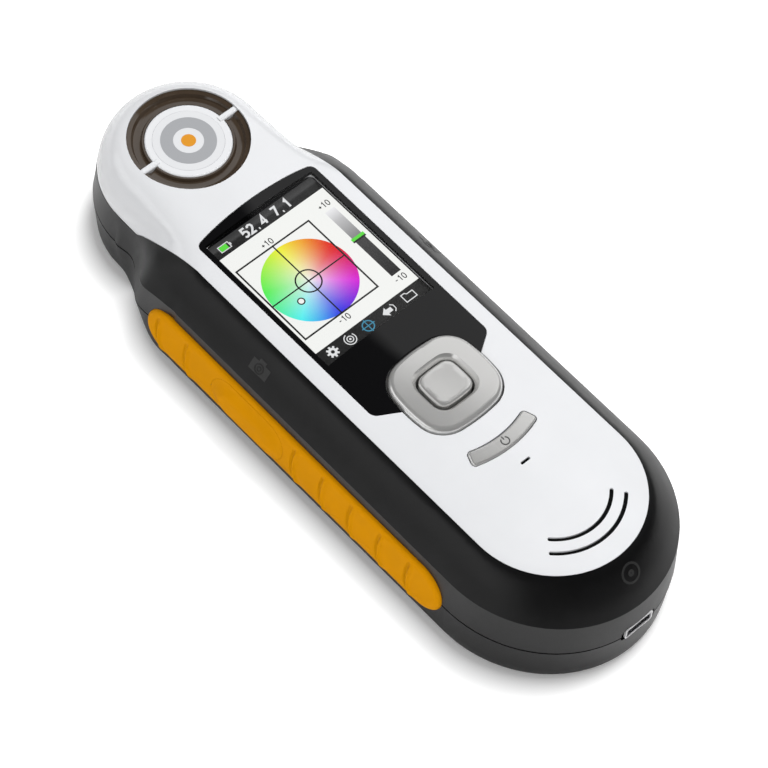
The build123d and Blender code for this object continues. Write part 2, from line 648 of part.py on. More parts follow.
def nav_gimbal():
    """Rocker plate between pad and frame: carries the pad's pivots across its own."""
    outer = pillow_outline(16.4, 15.6, 0.4, 2.4, NAV_Y)
    inner = pillow_outline(12.4, 11.6, 0.35, 2.0, NAV_Y)
    plate = column(outer - inner, 27.5, 28.4)
    groove = PIVOT_R + PIVOT_CLEAR
    plate -= rod(groove, (0, NAV_Y - 9.0, NAV_TILT_Z), (0, NAV_Y + 9.0, NAV_TILT_Z))
    for side in (-1, 1):
        plate += rod(PIVOT_R, (side * 6.5, NAV_Y, GIMBAL_TILT_Z), (side * 8.0, NAV_Y, GIMBAL_TILT_Z))
    return plate


def keypad_frame():
    """Plate that guides the stems and carries the rocker plate."""
    plate = Pos(0, -26.4) * RectangleRounded(26.4, 35.2, 2.0)
    frame = column(plate, 25.25, GIMBAL_TILT_Z)
    frame -= column(select_outline(-0.8), 20.0, 30.0)
    for x, y in ((9.6, 0), (-9.6, 0), (0, 9.0), (0, -9.0)):
        frame -= disc(1.6, (x, NAV_Y + y), 20.0, 30.0)
    frame -= disc(1.9, (0, POWER_Y), 20.0, 30.0)
    groove = PIVOT_R + PIVOT_CLEAR
    frame -= rod(groove, (-8.6, NAV_Y, GIMBAL_TILT_Z), (8.6, NAV_Y, GIMBAL_TILT_Z))
    return frame


def select_button():
    button = column(select_outline(0), 29.5, SELECT_TOP_Z)
    button = fillet(button.edges().group_by(Axis.Z)[-1], 0.7)
    dish_r = 45.0
    button -= Pos(0, NAV_Y, SELECT_TOP_Z + dish_r - 0.25) * Sphere(dish_r)
    return button + column(select_outline(-1.2), KEY_FOOT_Z, 29.6)


def power_button():
    bar = column(power_outline(0), 29.2, POWER_TOP_Z)
    bar = fillet(bar.edges().group_by(Axis.Z)[-1], 0.5)
    bar += column(power_outline(0.8), 28.9, 29.6)
    return bar + disc(1.5, (0, POWER_Y), KEY_FOOT_Z, 29.0)


def keypad_mat():
    sheet = Pos(0, -26.4) * RectangleRounded(26.0, 34.8, 2.0)
    return column(sheet, 24.35, 25.2)


def key_domes():
    low_z = KEY_BOARD_Z + KEY_BOARD_THICK
    domes = Part()
    for x, y in ((0, NAV_Y), (9.6, NAV_Y), (-9.6, NAV_Y), (0, NAV_Y + 9.0), (0, NAV_Y - 9.0), (0, POWER_Y)):
        dome = disc(2.4, (x, y), low_z, low_z + 0.5)
        domes += chamfer(dome.edges().sort_by(Axis.Z)[-1], 0.4, 1.2)
    return domes


def key_board():
    sheet = Pos(0, -28.2) * RectangleRounded(29.0, 39.6, 1.5)
    board = column(sheet, KEY_BOARD_Z, KEY_BOARD_Z + KEY_BOARD_THICK)
    for x, y in SPACER_SPOTS:
        board -= disc(1.0, (x, y), 20.0, 25.0)
    return board


def board_spacers():
    spacers = Part()
    for x, y in SPACER_SPOTS:
        spacers += disc(1.9, (x, y), BOARD_TOP_Z, KEY_BOARD_Z)
        spacers += disc(0.9, (x, y), KEY_BOARD_Z, KEY_BOARD_Z + KEY_BOARD_THICK)
    return spacers


# --- display --------------------------------------------------------------------
def display_module():
    panel = block(-PANEL_HALF, PANEL_HALF, PANEL_LOW_Y, PANEL_HIGH_Y, 26.6, DISPLAY_TOP_Z)
    glass_y, half_y = DISPLAY_Y, DISPLAY_H / 2
    panel -= block(-DISPLAY_W / 2, DISPLAY_W / 2, glass_y - half_y, glass_y + half_y,
                   DISPLAY_TOP_Z - 0.15, DISPLAY_TOP_Z + 1.0)
    return panel


def display_bracket():
    """Tray behind the display panel."""
    half, low_y, high_y = PANEL_HALF + 0.05, PANEL_LOW_Y - 0.05, PANEL_HIGH_Y + 0.05
    wall = 0.75
    tray = block(-half - wall, half + wall, low_y - wall, high_y + wall, 25.6, DISPLAY_TOP_Z - 0.4)
    tray -= block(-half, half, low_y, high_y, 26.55, 40.0)
    return tray - block(-4.5, 4.5, -6.0, -4.0, 26.9, 40.0)


def display_gasket():
    frame = block(-PANEL_HALF, PANEL_HALF, PANEL_LOW_Y, PANEL_HIGH_Y,
                  DISPLAY_TOP_Z + 0.02, DISPLAY_TOP_Z + 0.2)
    return frame - block(-15.8, 15.8, -1.6, 40.8, 20.0, 40.0)


def ribbon(points, thick, half_width):
    """Flat flexible cable along a path in the plane x = 0."""
    path = Polyline(*[(0, y, z) for y, z in points])
    soft = fillet(path.vertices()[1:-1], 0.8)
    (y0, z0), (y1, z1) = points[0], points[1]
    start = Plane((0, y0, z0), x_dir=(1, 0, 0), z_dir=(0, y1 - y0, z1 - z0))
    return sweep(start * Rectangle(2 * half_width, thick), path=soft)


def display_flex():
    return ribbon([(-4.3, 27.6), (-7.2, 27.6), (-7.2, 16.65), (2.0, 16.65)], 0.2, 4.0)


def sensor_flex():
    return ribbon([(51.0, 25.4), (46.6, 25.4), (46.6, 20.0), (42.0, 16.65), (33.0, 16.65)], 0.2, 4.0)


# --- electronics ----------------------------------------------------------------
def main_board():
    outline = Face(Wire([
        ThreePointArc((BOARD_HALF, TAIL_Y), (0, TAIL_Y - BOARD_HALF), (-BOARD_HALF, TAIL_Y)),
        Line((-BOARD_HALF, TAIL_Y), (-BOARD_HALF, BOARD_END_Y)),
        Line((-BOARD_HALF, BOARD_END_Y), (BOARD_HALF, BOARD_END_Y)),
        Line((BOARD_HALF, BOARD_END_Y), (BOARD_HALF, TAIL_Y)),
    ]))
    board = column(outline, BOARD_Z, BOARD_TOP_Z)
    for x, y in SCREW_SPOTS:
        board -= disc(2.9, (x, y), 10.0, 20.0)
    for x, y in BOARD_POSTS:
        board -= disc(1.0, (x, y), 10.0, 20.0)
    return board


def board_parts():
    """Processor, memory, power parts and the two cable sockets on the main board."""
    chips = [(-9.0, 5.0, 8.0, 8.0, 1.2), (6.0, 16.0, 6.0, 9.0, 1.0), (-12.0, 24.0, 5.0, 4.0, 1.6),
             (-14.0, -26.0, 4.0, 6.0, 2.2), (13.0, -28.0, 4.5, 4.5, 2.8), (4.0, -55.0, 5.0, 3.0, 1.4)]
    parts = Part()
    for x, y, half_x, half_y, tall in chips:
        parts += block(x - half_x / 2, x + half_x / 2, y - half_y / 2, y + half_y / 2,
                       BOARD_TOP_Z, BOARD_TOP_Z + tall)
    parts += block(-5.0, 5.0, 2.05, 5.0, BOARD_TOP_Z, BOARD_TOP_Z + 1.1)
    return parts + block(-5.0, 5.0, 30.0, 32.95, BOARD_TOP_Z, BOARD_TOP_Z + 1.1)


def board_screws():
    screws = Part()
    for x, y in BOARD_POSTS:
        screws += disc(PCB_SCREW_R, (x, y), 9.0, BOARD_TOP_Z)
        screws += disc(1.9, (x, y), BOARD_TOP_Z, BOARD_TOP_Z + 1.1)
    return screws


def usb_shell():
    """Metal can of the socket, hung under the tail end of the main board."""
    can = block(-USB_HALF, USB_HALF, USB_FROM_Y, USB_TO_Y, USB_LOW_Z, USB_HIGH_Z)
    can = fillet(can.edges().filter_by(Axis.Y), 0.6)
    can += block(-3.0, 3.0, TAIL_Y - BOARD_HALF + 0.5, USB_TO_Y, USB_HIGH_Z - 0.2, BOARD_Z - 0.02)
    return can - block(-USB_HALF + USB_SHEET, USB_HALF - USB_SHEET, USB_FROM_Y - 1.0, USB_TO_Y - 0.4,
                       USB_LOW_Z + USB_SHEET, USB_HIGH_Z - USB_SHEET)


def usb_tongue():
    """Plastic core of the socket: its back block and the contact tongue."""
    inner = USB_SHEET + 0.05
    back = block(-USB_HALF + inner, USB_HALF - inner, USB_TO_Y - 2.6, USB_TO_Y - 0.45,
                 USB_LOW_Z + inner, USB_HIGH_Z - inner)
    mid_z = (USB_LOW_Z + USB_HIGH_Z) / 2
    return back + block(-2.6, 2.6, USB_FROM_Y + 0.9, USB_TO_Y - 2.5, mid_z - 0.4, mid_z + 0.4)


def speaker():
    centre = (0, SPEAKER_Y)
    body = disc(SPEAKER_R, centre, 25.4, SPEAKER_TOP_Z)
    body += disc(6.0, centre, 23.9, 25.5)
    return body - disc(SPEAKER_R - 1.4, centre, SPEAKER_TOP_Z - 0.6, 30.0)


def speaker_mesh():
    """Dark acoustic mesh under both sound slots."""
    strip = arc_bar_outline((0, TAIL_Y), 14.0, 54.0, 8.8, 1.5)
    return column(strip, SPEAKER_TOP_Z + 0.05, SPEAKER_TOP_Z + 1.0)


def microphone():
    top_z = KEY_BOARD_Z + KEY_BOARD_THICK
    can = disc(1.9, (0, MIC_Y), top_z, top_z + 2.2)
    return can - disc(0.5, (0, MIC_Y), top_z + 1.5, top_z + 3.0)


# --- optics in the head ----------------------------------------------------------
def sensor_board():
    board = disc(12.6, (0, HEAD_Y), 25.6, 26.8)
    return board - block(-20.0, 20.0, HEAD_Y + 10.5, HEAD_Y + 20.0, 20.0, 30.0)


def image_sensor():
    return block(-4.0, 4.0, HEAD_Y - 4.0, HEAD_Y + 4.0, 24.4, 25.58)


def optics_barrel():
    barrel = tube(7.4, 6.2, (0, HEAD_Y), 10.0, 25.5)
    return barrel + tube(6.4, 5.2, (0, HEAD_Y), 15.4, 17.9)


def lenses():
    lower = disc(6.15, (0, HEAD_Y), 12.6, 15.35)
    lower = chamfer(lower.edges().sort_by(Axis.Z)[0], 0.5, 1.5)
    upper = disc(6.15, (0, HEAD_Y), 17.95, 20.2)
    return lower + chamfer(upper.edges().sort_by(Axis.Z)[-1], 0.5, 1.5)


def optics_mount():
    """Plate that carries the barrel, on three posts from the floor under the head."""
    plate = disc(16.5, (0, HEAD_Y), 10.0, 11.4) - disc(7.45, (0, HEAD_Y), 9.0, 12.0)
    for turn in (90.0, 210.0, 330.0):
        angle = math.radians(turn)
        spot = (14.6 * math.cos(angle), HEAD_Y + 14.6 * math.sin(angle))
        plate += disc(1.6, spot, 4.15, 10.1)
    return plate


def led_board():
    return tube(12.2, 7.6, (0, HEAD_Y), 8.7, 9.9)


def leds():
    lamps = Part()
    for number in range(8):
        angle = math.radians(22.5 + 45.0 * number)
        spot = (9.9 * math.cos(angle), HEAD_Y + 9.9 * math.sin(angle))
        lamps += disc(1.1, spot, 7.7, 8.68)
    return lamps


def light_cone():
    """White funnel that throws the lamps' light on to the aperture."""
    profile = Polyline((6.3, 4.2), (7.3, 4.2), (12.6, 7.2), (12.6, 8.4), (11.8, 8.4), (11.8, 7.5),
                       (6.3, 4.8), (6.3, 4.2))
    upright = Plane((0, HEAD_Y, 0), x_dir=(1, 0, 0), z_dir=(0, -1, 0))
    return revolve(upright * Face(Wire(profile.edges())), Axis((0, HEAD_Y, 0), (0, 0, 1)), 360)


def aperture_glass():
    return disc(APERTURE_R + 1.9, (0, HEAD_Y), HEAD_FLOOR_Z - 0.78, HEAD_FLOOR_Z)


def calibration_slider():
    """Shutter below the aperture: it holds the white reference tile and a ribbed thumb pad."""
    half_long = SLIDER_LONG / 2
    plate = block(-SLIDER_HALF, SLIDER_HALF, HEAD_Y - half_long, HEAD_Y + half_long,
                  SLIDER_LOW_Z, SLIDER_HIGH_Z)
    plate = fillet(plate.edges().filter_by(Axis.Z), 1.5)
    plate -= disc(TILE_R + 0.05, (0, HEAD_Y), SLIDER_HIGH_Z - 0.6, 4.0)
    pad = block(-8.0, 8.0, HEAD_Y - 10.5, HEAD_Y - 4.5, 0.8, SLIDER_LOW_Z + 0.2)
    for step in range(4):
        y = HEAD_Y - 9.5 + 1.3 * step
        pad -= block(-7.0, 7.0, y, y + 0.6, 0.0, 1.1)
    return plate + pad


def white_tile():
    return disc(TILE_R, (0, HEAD_Y), SLIDER_HIGH_Z - 0.55, SLIDER_HIGH_Z)


# --- fasteners and feet ------------------------------------------------------------
def pan_screw(radius, head_r, tip_z, seat_z, x, y):
    """Cross-recess screw driven upwards, its head below the seat."""
    screw = disc(radius, (x, y), seat_z, tip_z)
    head_low = seat_z - 1.3
    head = disc(head_r, (x, y), head_low, seat_z)
    head = fillet(head.edges().filter_by(GeomType.CIRCLE).sort_by(Axis.Z)[0], 0.5)
    cross = block(x - 1.1, x + 1.1, y - 0.25, y + 0.25, head_low - 1.0, head_low + 0.8)
    cross += block(x - 0.25, x + 0.25, y - 1.1, y + 1.1, head_low - 1.0, head_low + 0.8)
    return screw + head - cross


def case_screws():
    screws = Part()
    for x, y in SCREW_SPOTS:
        screws += pan_screw(SCREW_R, SCREW_HEAD_R, 22.5, SCREW_SEAT_Z, x, y)
    return screws


def battery_cover_screw():
    x, y, seat_z = 0.0, DOOR_SCREW_Y, 1.34
    screw = disc(PCB_SCREW_R, (x, y), seat_z, 7.0)
    head = disc(1.9, (x, y), FOOT_HEIGHT + 0.1, seat_z)
    slot = block(-1.3, 1.3, y - 0.25, y + 0.25, 0.0, FOOT_HEIGHT + 0.45)
    return screw + head - slot


def rubber_feet():
    feet = Part()
    for x, y in FOOT_SPOTS:
        foot = disc(FOOT_R, (x, y), 0.0, FOOT_HEIGHT + FOOT_DEPTH - 0.02)
        feet += fillet(foot.edges().filter_by(GeomType.CIRCLE).sort_by(Axis.Z)[0], 0.25)
    return feet


PARTS = {
    "upper_shell": upper_shell,
    "lower_shell": lower_shell,
    "face_cover": face_cover,
    "screen_window": screen_window,
    "target_ring_window": target_ring_window,
    "hub_badge": hub_badge,
    "grip_right": grip_right,
    "grip_left": lambda: mirrored(grip_right()),
    "measure_button_right": measure_button_right,
    "measure_button_left": lambda: mirrored(measure_button_right()),
    "side_switches": side_switches,
    "nav_ring": nav_ring,
    "nav_gimbal": nav_gimbal,
    "select_button": select_button,
    "power_button": power_button,
    "keypad_frame": keypad_frame,
    "keypad_mat": keypad_mat,
    "key_domes": key_domes,
    "key_board": key_board,
    "board_spacers": board_spacers,
    "display_module": display_module,
    "display_bracket": display_bracket,
    "display_gasket": display_gasket,
    "display_flex": display_flex,
    "main_board": main_board,
    "board_parts": board_parts,
    "board_screws": board_screws,
    "usb_shell": usb_shell,
    "usb_tongue": usb_tongue,
    "speaker": speaker,
    "speaker_mesh": speaker_mesh,
    "microphone": microphone,
    "sensor_board": sensor_board,
    "image_sensor": image_sensor,
    "sensor_flex": sensor_flex,
    "optics_barrel": optics_barrel,
    "lenses": lenses,
    "optics_mount": optics_mount,
    "led_board": led_board,
    "leds": leds,
    "light_cone": light_cone,
    "aperture_glass": aperture_glass,
    "calibration_slider": calibration_slider,
    "white_tile": white_tile,
    "battery_pack": battery_pack,
    "battery_contacts": battery_contacts,
    "battery_cover": battery_cover,
    "battery_cover_screw": battery_cover_screw,
    "case_screws": case_screws,
    "rubber_feet": rubber_feet,
}

os.makedirs("parts", exist_ok=True)
for node, make in PARTS.items():
    export_step(Pos(0, -MIDDLE_Y, 0) * make(), f"parts/{node}.step")
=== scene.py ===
import math
import bpy
from mathutils import Matrix, Vector
from mathutils.bvhtree import BVHTree
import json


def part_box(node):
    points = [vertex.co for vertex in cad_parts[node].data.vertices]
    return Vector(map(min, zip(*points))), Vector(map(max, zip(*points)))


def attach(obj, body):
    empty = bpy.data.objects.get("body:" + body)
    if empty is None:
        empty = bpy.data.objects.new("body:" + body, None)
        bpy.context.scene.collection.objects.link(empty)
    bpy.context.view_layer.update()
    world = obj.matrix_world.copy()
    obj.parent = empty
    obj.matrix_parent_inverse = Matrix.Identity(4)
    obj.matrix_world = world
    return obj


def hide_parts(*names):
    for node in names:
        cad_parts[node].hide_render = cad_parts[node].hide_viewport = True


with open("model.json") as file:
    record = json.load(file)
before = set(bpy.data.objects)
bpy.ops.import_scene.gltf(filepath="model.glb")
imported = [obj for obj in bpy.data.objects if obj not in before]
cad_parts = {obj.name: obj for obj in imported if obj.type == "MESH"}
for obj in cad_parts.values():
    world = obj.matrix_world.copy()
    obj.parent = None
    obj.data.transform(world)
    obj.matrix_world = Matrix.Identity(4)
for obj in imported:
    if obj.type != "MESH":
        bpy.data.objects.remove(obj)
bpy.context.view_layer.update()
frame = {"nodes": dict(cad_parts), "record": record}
NODES = frame["nodes"]
MM = 0.001


# --- places -----------------------------------------------------------------------
TAIL_RADIUS = 21.0        # mm, of the white cover's rounded tail
COVER_LOW_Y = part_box("face_cover")[0].y
TAIL_Y = COVER_LOW_Y + TAIL_RADIUS * MM


def along(mm):
    """Place along the length, counted from the tail's centre towards the head."""
    return TAIL_Y + mm * MM


PARTING_Z, PARTING_HALF = 12.4, 0.15      # height of the parting line, and half width of the gap between the shells, where the shell is painted black as shade

LIT_HALF = 15.43                          # lit area of the display: half width
LIT_LOW, LIT_HIGH = 54.03, 93.72          # and its ends, counted from the tail's centre
LIT_Z = 30.4                              # top of the display's glass
OPENING_X = (-15.85 * MM, 15.7 * MM)      # clear opening in the window's printed border
OPENING_Y = (along(LIT_LOW - 0.7), along(LIT_HIGH + 0.2))


# --- node helpers -----------------------------------------------------------------
class Tree:
    """Small wrapper that builds a material's nodes."""

    def __init__(self, name):
        self.mat = bpy.data.materials.new(name)
        self.mat.use_nodes = True
        self.nodes = self.mat.node_tree.nodes
        self.links = self.mat.node_tree.links
        self.bsdf = self.nodes["Principled BSDF"]
        self.out = self.nodes["Material Output"]
        self.coords = self.nodes.new("ShaderNodeTexCoord").outputs["Object"]

    def put(self, socket, value):
        """Links a socket to the input, or gives it a number or a colour."""
        if isinstance(value, bpy.types.NodeSocket):
            self.links.new(value, socket)
        elif isinstance(value, (tuple, list)) and len(value) == 3 and len(socket.default_value) == 4:
            socket.default_value = (*value, 1.0)
        else:
            socket.default_value = value

    def set(self, **values):
        """Fills inputs of the main surface, named with _ for a space."""
        for key, value in values.items():
            self.put(self.bsdf.inputs[key.replace("_", " ")], value)

    def math(self, operation, *values, clamp=False):
        node = self.nodes.new("ShaderNodeMath")
        node.operation = operation
        node.use_clamp = clamp
        for socket, value in zip(node.inputs, values):
            self.put(socket, value)
        return node.outputs[0]

    def vector(self, operation, *values):
        node = self.nodes.new("ShaderNodeVectorMath")
        node.operation = operation
        for socket, value in zip(node.inputs, values):
            self.put(socket, value)
        return node.outputs[0]

    def noise(self, size_mm, detail=2.0, rough=0.5):
        mapping = self.nodes.new("ShaderNodeMapping")
        self.links.new(self.coords, mapping.inputs["Vector"])
        mapping.inputs["Scale"].default_value = [1.0 / (size_mm * MM)] * 3
        node = self.nodes.new("ShaderNodeTexNoise")
        node.inputs["Scale"].default_value = 1.0
        node.inputs["Detail"].default_value = detail
        node.inputs["Roughness"].default_value = rough
        self.links.new(mapping.outputs["Vector"], node.inputs["Vector"])
        return node.outputs["Fac"]

    def ramp(self, value, low, high, to_low=0.0, to_high=1.0):
        """Stretches low..high to to_low..to_high and holds it there."""
        node = self.nodes.new("ShaderNodeMapRange")
        limits = {"From Min": low, "From Max": high, "To Min": to_low, "To Max": to_high}
        for key, number in limits.items():
            self.put(node.inputs[key], number)
        self.links.new(value, node.inputs["Value"])
        return node.outputs["Result"]

    def drift(self, noise, to_low=0.0, to_high=1.0):
        """The middle of a noise's range, where nearly all of it lies, stretched."""
        return self.ramp(noise, 0.3, 0.7, to_low, to_high)

    def even(self, first, second):
        """Half of each of two noises."""
        return self.math("ADD", self.math("MULTIPLY", first, 0.5), self.math("MULTIPLY", second, 0.5))

    def mix(self, share, a, b):
        """Colour between a and b; the node's colour sockets are inputs 6 and 7 and output 2."""
        node = self.nodes.new("ShaderNodeMix")
        node.data_type = "RGBA"
        self.put(node.inputs[0], share)
        self.put(node.inputs[6], a)
        self.put(node.inputs[7], b)
        return node.outputs[2]

    def blend(self, share, first, second):
        """Surface between two surfaces."""
        node = self.nodes.new("ShaderNodeMixShader")
        for socket, value in zip(node.inputs, (share, first, second)):
            self.links.new(value, socket)
        return node.outputs[0]

    def bump(self, height, depth_mm, normal=None):
        node = self.nodes.new("ShaderNodeBump")
        node.inputs["Distance"].default_value = depth_mm * MM
        node.inputs["Strength"].default_value = 1.0
        self.links.new(height, node.inputs["Height"])
        if normal is not None:
            self.links.new(normal, node.inputs["Normal"])
        return node.outputs["Normal"]

    def xyz(self):
        node = self.nodes.new("ShaderNodeSeparateXYZ")
        self.links.new(self.coords, node.inputs[0])
        return node.outputs

    def lit(self, color, strength=1.0):
        """Makes it a dark surface with light of its own, as a display has."""
        self.set(Base_Color=(0.01, 0.01, 0.01), Emission_Color=color,
                 Emission_Strength=strength, Roughness=0.35)


# --- materials --------------------------------------------------------------------
def finish_of(name, color, rough, metal=0.0, grain=0.25, depth=0.01, tone=0.08, coat=0.0, spec=0.5,
              rough_vary=0.06, patch=9.0):
    """Moulded or coated surface: fine grain in the bump, slow drift in tone and roughness."""
    t = Tree(name)
    slow = t.noise(patch, 3.0)
    fine = t.noise(grain, 2.0, 0.6)
    lighter = tuple(min(1.0, c * (1 + tone)) for c in color)
    darker = tuple(c * (1 - tone) for c in color)
    smoothest = max(0.02, rough - rough_vary)
    t.set(Base_Color=t.mix(t.drift(slow), darker, lighter), Metallic=metal,
          Roughness=t.drift(t.even(slow, fine), smoothest, rough + rough_vary),
          Specular_IOR_Level=spec, Coat_Weight=coat, Coat_Roughness=0.08,
          Normal=t.bump(fine, depth))
    return t.mat


PLAIN = {                 # colour, roughness and what differs from a plain moulding
    "white_gloss": ((0.87, 0.88, 0.90), 0.16,
                    dict(grain=3.5, depth=0.004, tone=0.01, coat=0.5, rough_vary=0.03)),
    "orange_rubber": ((0.86, 0.350, 0.0), 0.66, dict(grain=0.22, depth=0.012, tone=0.03, spec=0.04)),
    "inner_plastic": ((0.05, 0.05, 0.055), 0.5, dict(tone=0.12)),
    "silicone_mat": ((0.42, 0.43, 0.44), 0.6, dict(tone=0.06)),
    "steel": ((0.60, 0.60, 0.62), 0.28, dict(metal=1.0, grain=0.3, depth=0.004)),
    "brass": ((0.75, 0.56, 0.22), 0.3, dict(metal=1.0, grain=0.3, depth=0.004)),
    "circuit_board": ((0.012, 0.13, 0.05), 0.35, dict(tone=0.25, patch=2.0, coat=0.4)),
    "switch_body": ((0.022, 0.022, 0.025), 0.45, dict(tone=0.15)),
    "display_panel": ((0.006, 0.006, 0.007), 0.3, dict(grain=1.0, depth=0.001, tone=0.1)),
    "foam": ((0.006, 0.006, 0.006), 0.9, dict(grain=0.5, depth=0.15, tone=0.3, spec=0.1)),
    "flex_cable": ((0.50, 0.24, 0.03), 0.35, dict(tone=0.1)),
    "lamp_lens": ((0.90, 0.84, 0.55), 0.2, dict(tone=0.08)),
    "slider_black": ((0.03, 0.03, 0.034), 0.5, dict(grain=0.2, depth=0.01, tone=0.12)),
    "reference_tile": ((0.86, 0.86, 0.84), 0.55, dict(tone=0.01)),
    "battery_wrap": ((0.05, 0.08, 0.16), 0.3, dict(tone=0.1, patch=14.0)),
    "black_rubber": ((0.018, 0.018, 0.018), 0.75, dict(grain=0.3, depth=0.03, tone=0.15)),
    "badge_film": ((0.83, 0.84, 0.86), 0.22, dict(grain=1.5, depth=0.003, tone=0.01, coat=0.3)),
    "bright_tin": ((0.90, 0.90, 0.91), 0.30, dict(metal=0.25, grain=0.3, depth=0.003, tone=0.03)),
    "mark_grey": ((0.42, 0.43, 0.45), 0.3,
                  dict(grain=0.8, depth=0.001, tone=0.0, coat=0.2, rough_vary=0.01)),
    "mark_orange": ((0.82, 0.33, 0.01), 0.3, dict(grain=0.8, depth=0.002, tone=0.03, coat=0.3)),
    "mark_dark": ((0.06, 0.06, 0.06), 0.4, dict(grain=0.4, depth=0.002, tone=0.06)),
    "mark_shell": ((0.026, 0.026, 0.026), 0.4, dict(grain=0.3, depth=0.002, tone=0.05)),
    "mark_shell_dark": ((0.004, 0.004, 0.004), 0.4, dict(grain=0.3, depth=0.002, tone=0.05)),
}


def charcoal_shell():
    """Soft-touch black; along the gap between the shells it is painted dead black with no reflection,
    as painted shade.
    """
    t = Tree("charcoal_shell")
    slow, fine = t.noise(9.0, 3.0), t.noise(0.18, 2.0, 0.6)
    # painted shade: within PARTING_HALF of the parting line the colour is black and the reflection is
    # off, fading back over 0.22 mm
    off = t.math("ABSOLUTE", t.math("SUBTRACT", t.xyz()[2], PARTING_Z * MM))
    clear = t.ramp(off, PARTING_HALF * MM, (PARTING_HALF + 0.22) * MM)
    tone = t.mix(t.drift(slow), (0.0040, 0.0039, 0.0042), (0.0050, 0.0049, 0.0053))
    t.set(Base_Color=t.mix(clear, (0.0, 0.0, 0.0), tone),
          Roughness=t.drift(t.even(slow, fine), 0.29, 0.40),
          Specular_IOR_Level=t.math("MULTIPLY", clear, 0.39), Normal=t.bump(fine, 0.006))
    return t.mat


def quiet_bounce(mat):
    """Keeps a strong colour from tinting what stands next to it: scattered light sees a grey."""
    nodes, links = mat.node_tree.nodes, mat.node_tree.links
    socket = nodes["Principled BSDF"].inputs["Base Color"]
    mixer = nodes.new("ShaderNodeMix")
    mixer.data_type = "RGBA"
    links.new(nodes.new("ShaderNodeLightPath").outputs["Is Diffuse Ray"], mixer.inputs[0])
    links.new(socket.links[0].from_socket, mixer.inputs[6])
    mixer.inputs[7].default_value = (0.16, 0.15, 0.14, 1.0)
    links.new(mixer.outputs[2], socket)


def satin_silver(node, lean):
    """Satin metal coat over a slightly pillowed face; lean is the tilt per metre from its middle."""
    low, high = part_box(node)
    t = Tree("satin_silver_" + node)
    slow, fine = t.noise(7.0, 3.0), t.noise(0.12, 2.0, 0.6)
    away = t.vector("SUBTRACT", t.coords, ((low.x + high.x) / 2, (low.y + high.y) / 2, 0.0))
    tilt = t.vector("MULTIPLY", away, (lean, lean, 0.0))
    surface = t.nodes.new("ShaderNodeNewGeometry").outputs["Normal"]
    pillowed = t.vector("NORMALIZE", t.vector("ADD", surface, tilt))
    t.set(Base_Color=t.mix(t.drift(slow), (0.93, 0.925, 0.91), (0.95, 0.945, 0.93)), Metallic=0.72,
          Roughness=t.drift(fine, 0.22, 0.27), Normal=t.bump(fine, 0.003, pillowed))
    return t.mat


def optic_glass():
    """Coated glass of the optics inside the head."""
    t = Tree("optic_glass")
    t.set(Base_Color=(0.88, 0.93, 0.97), Roughness=t.drift(t.noise(2.0), 0.02, 0.06),
          Transmission_Weight=1.0, IOR=1.5, Coat_Weight=0.4, Coat_Tint=(0.7, 0.8, 1.0))
    return t.mat


def smoked_ring():
    """Dark brown moulding with slow swirls under a clear coat."""
    t = Tree("smoked_ring")
    t.set(Base_Color=t.mix(t.noise(6.0, 2.0), (0.045, 0.030, 0.019), (0.075, 0.052, 0.034)),
          Roughness=t.drift(t.noise(0.6), 0.07, 0.14), Coat_Weight=1.0, Coat_Roughness=0.04,
          Specular_IOR_Level=0.6, Normal=t.bump(t.noise(2.5), 0.01))
    return t.mat


def window_black():
    """Hard-coated window: black printed border, clear over the display's lit area."""
    t = Tree("window_black")
    edge = 0.05 * MM
    inside = 1.0
    for value, (low, high) in zip(t.xyz(), (OPENING_X, OPENING_Y)):
        inside = t.math("MULTIPLY", inside, t.ramp(value, low - edge, low + edge))
        inside = t.math("MULTIPLY", inside, t.ramp(value, high - edge, high + edge, 1.0, 0.0))
    t.set(Base_Color=t.mix(t.noise(0.5), (0.0035, 0.0035, 0.004), (0.0045, 0.0045, 0.005)),
          Roughness=t.drift(t.noise(4.0), 0.03, 0.06), Specular_IOR_Level=0.5,
          Normal=t.bump(t.noise(12.0), 0.008))
    clear = t.nodes.new("ShaderNodeBsdfTransparent")
    clear.inputs["Color"].default_value = (0.97, 0.97, 0.97, 1.0)
    gloss = t.nodes.new("ShaderNodeBsdfGlossy")
    gloss.inputs["Roughness"].default_value = 0.03
    fresnel = t.nodes.new("ShaderNodeFresnel")
    fresnel.inputs["IOR"].default_value = 1.35
    behind = t.nodes.new("ShaderNodeNewGeometry").outputs["Backfacing"]
    mirror = t.math("MULTIPLY", fresnel.outputs[0], t.math("SUBTRACT", 1.0, behind))
    pane = t.blend(mirror, clear.outputs[0], gloss.outputs[0])
    t.links.new(t.blend(inside, t.bsdf.outputs[0], pane), t.out.inputs["Surface"])
    return t.mat


M = {name: finish_of(name, color, rough, **rest) for name, (color, rough, rest) in PLAIN.items()}
quiet_bounce(M["orange_rubber"])
for maker in (charcoal_shell, optic_glass, smoked_ring, window_black):
    M[maker.__name__] = maker()

SILVER_LEAN = {"nav_ring": 7.0, "select_button": 18.0, "power_button": 5.0}
silver = {node: satin_silver(node, lean) for node, lean in SILVER_LEAN.items()}
slots = {row["node"]: row["material_slot"] for row in frame["record"]["subparts"]}
for node, obj in NODES.items():
    obj.data.materials.clear()
    obj.data.materials.append(silver[node] if node in silver else M[slots[node]])


# --- mesh helpers -----------------------------------------------------------------
def add_mesh(name, verts, faces, mat, rounded=False):
    """New object; rounded turns smooth shading on."""
    mesh = bpy.data.meshes.new(name)
    mesh.from_pydata([tuple(v) for v in verts], [], faces)
    mesh.update()
    obj = bpy.data.objects.new(name, mesh)
    bpy.context.scene.collection.objects.link(obj)
    mesh.materials.append(mat)
    if rounded:
        mesh.polygons.foreach_set("use_smooth", [True] * len(mesh.polygons))
    return obj


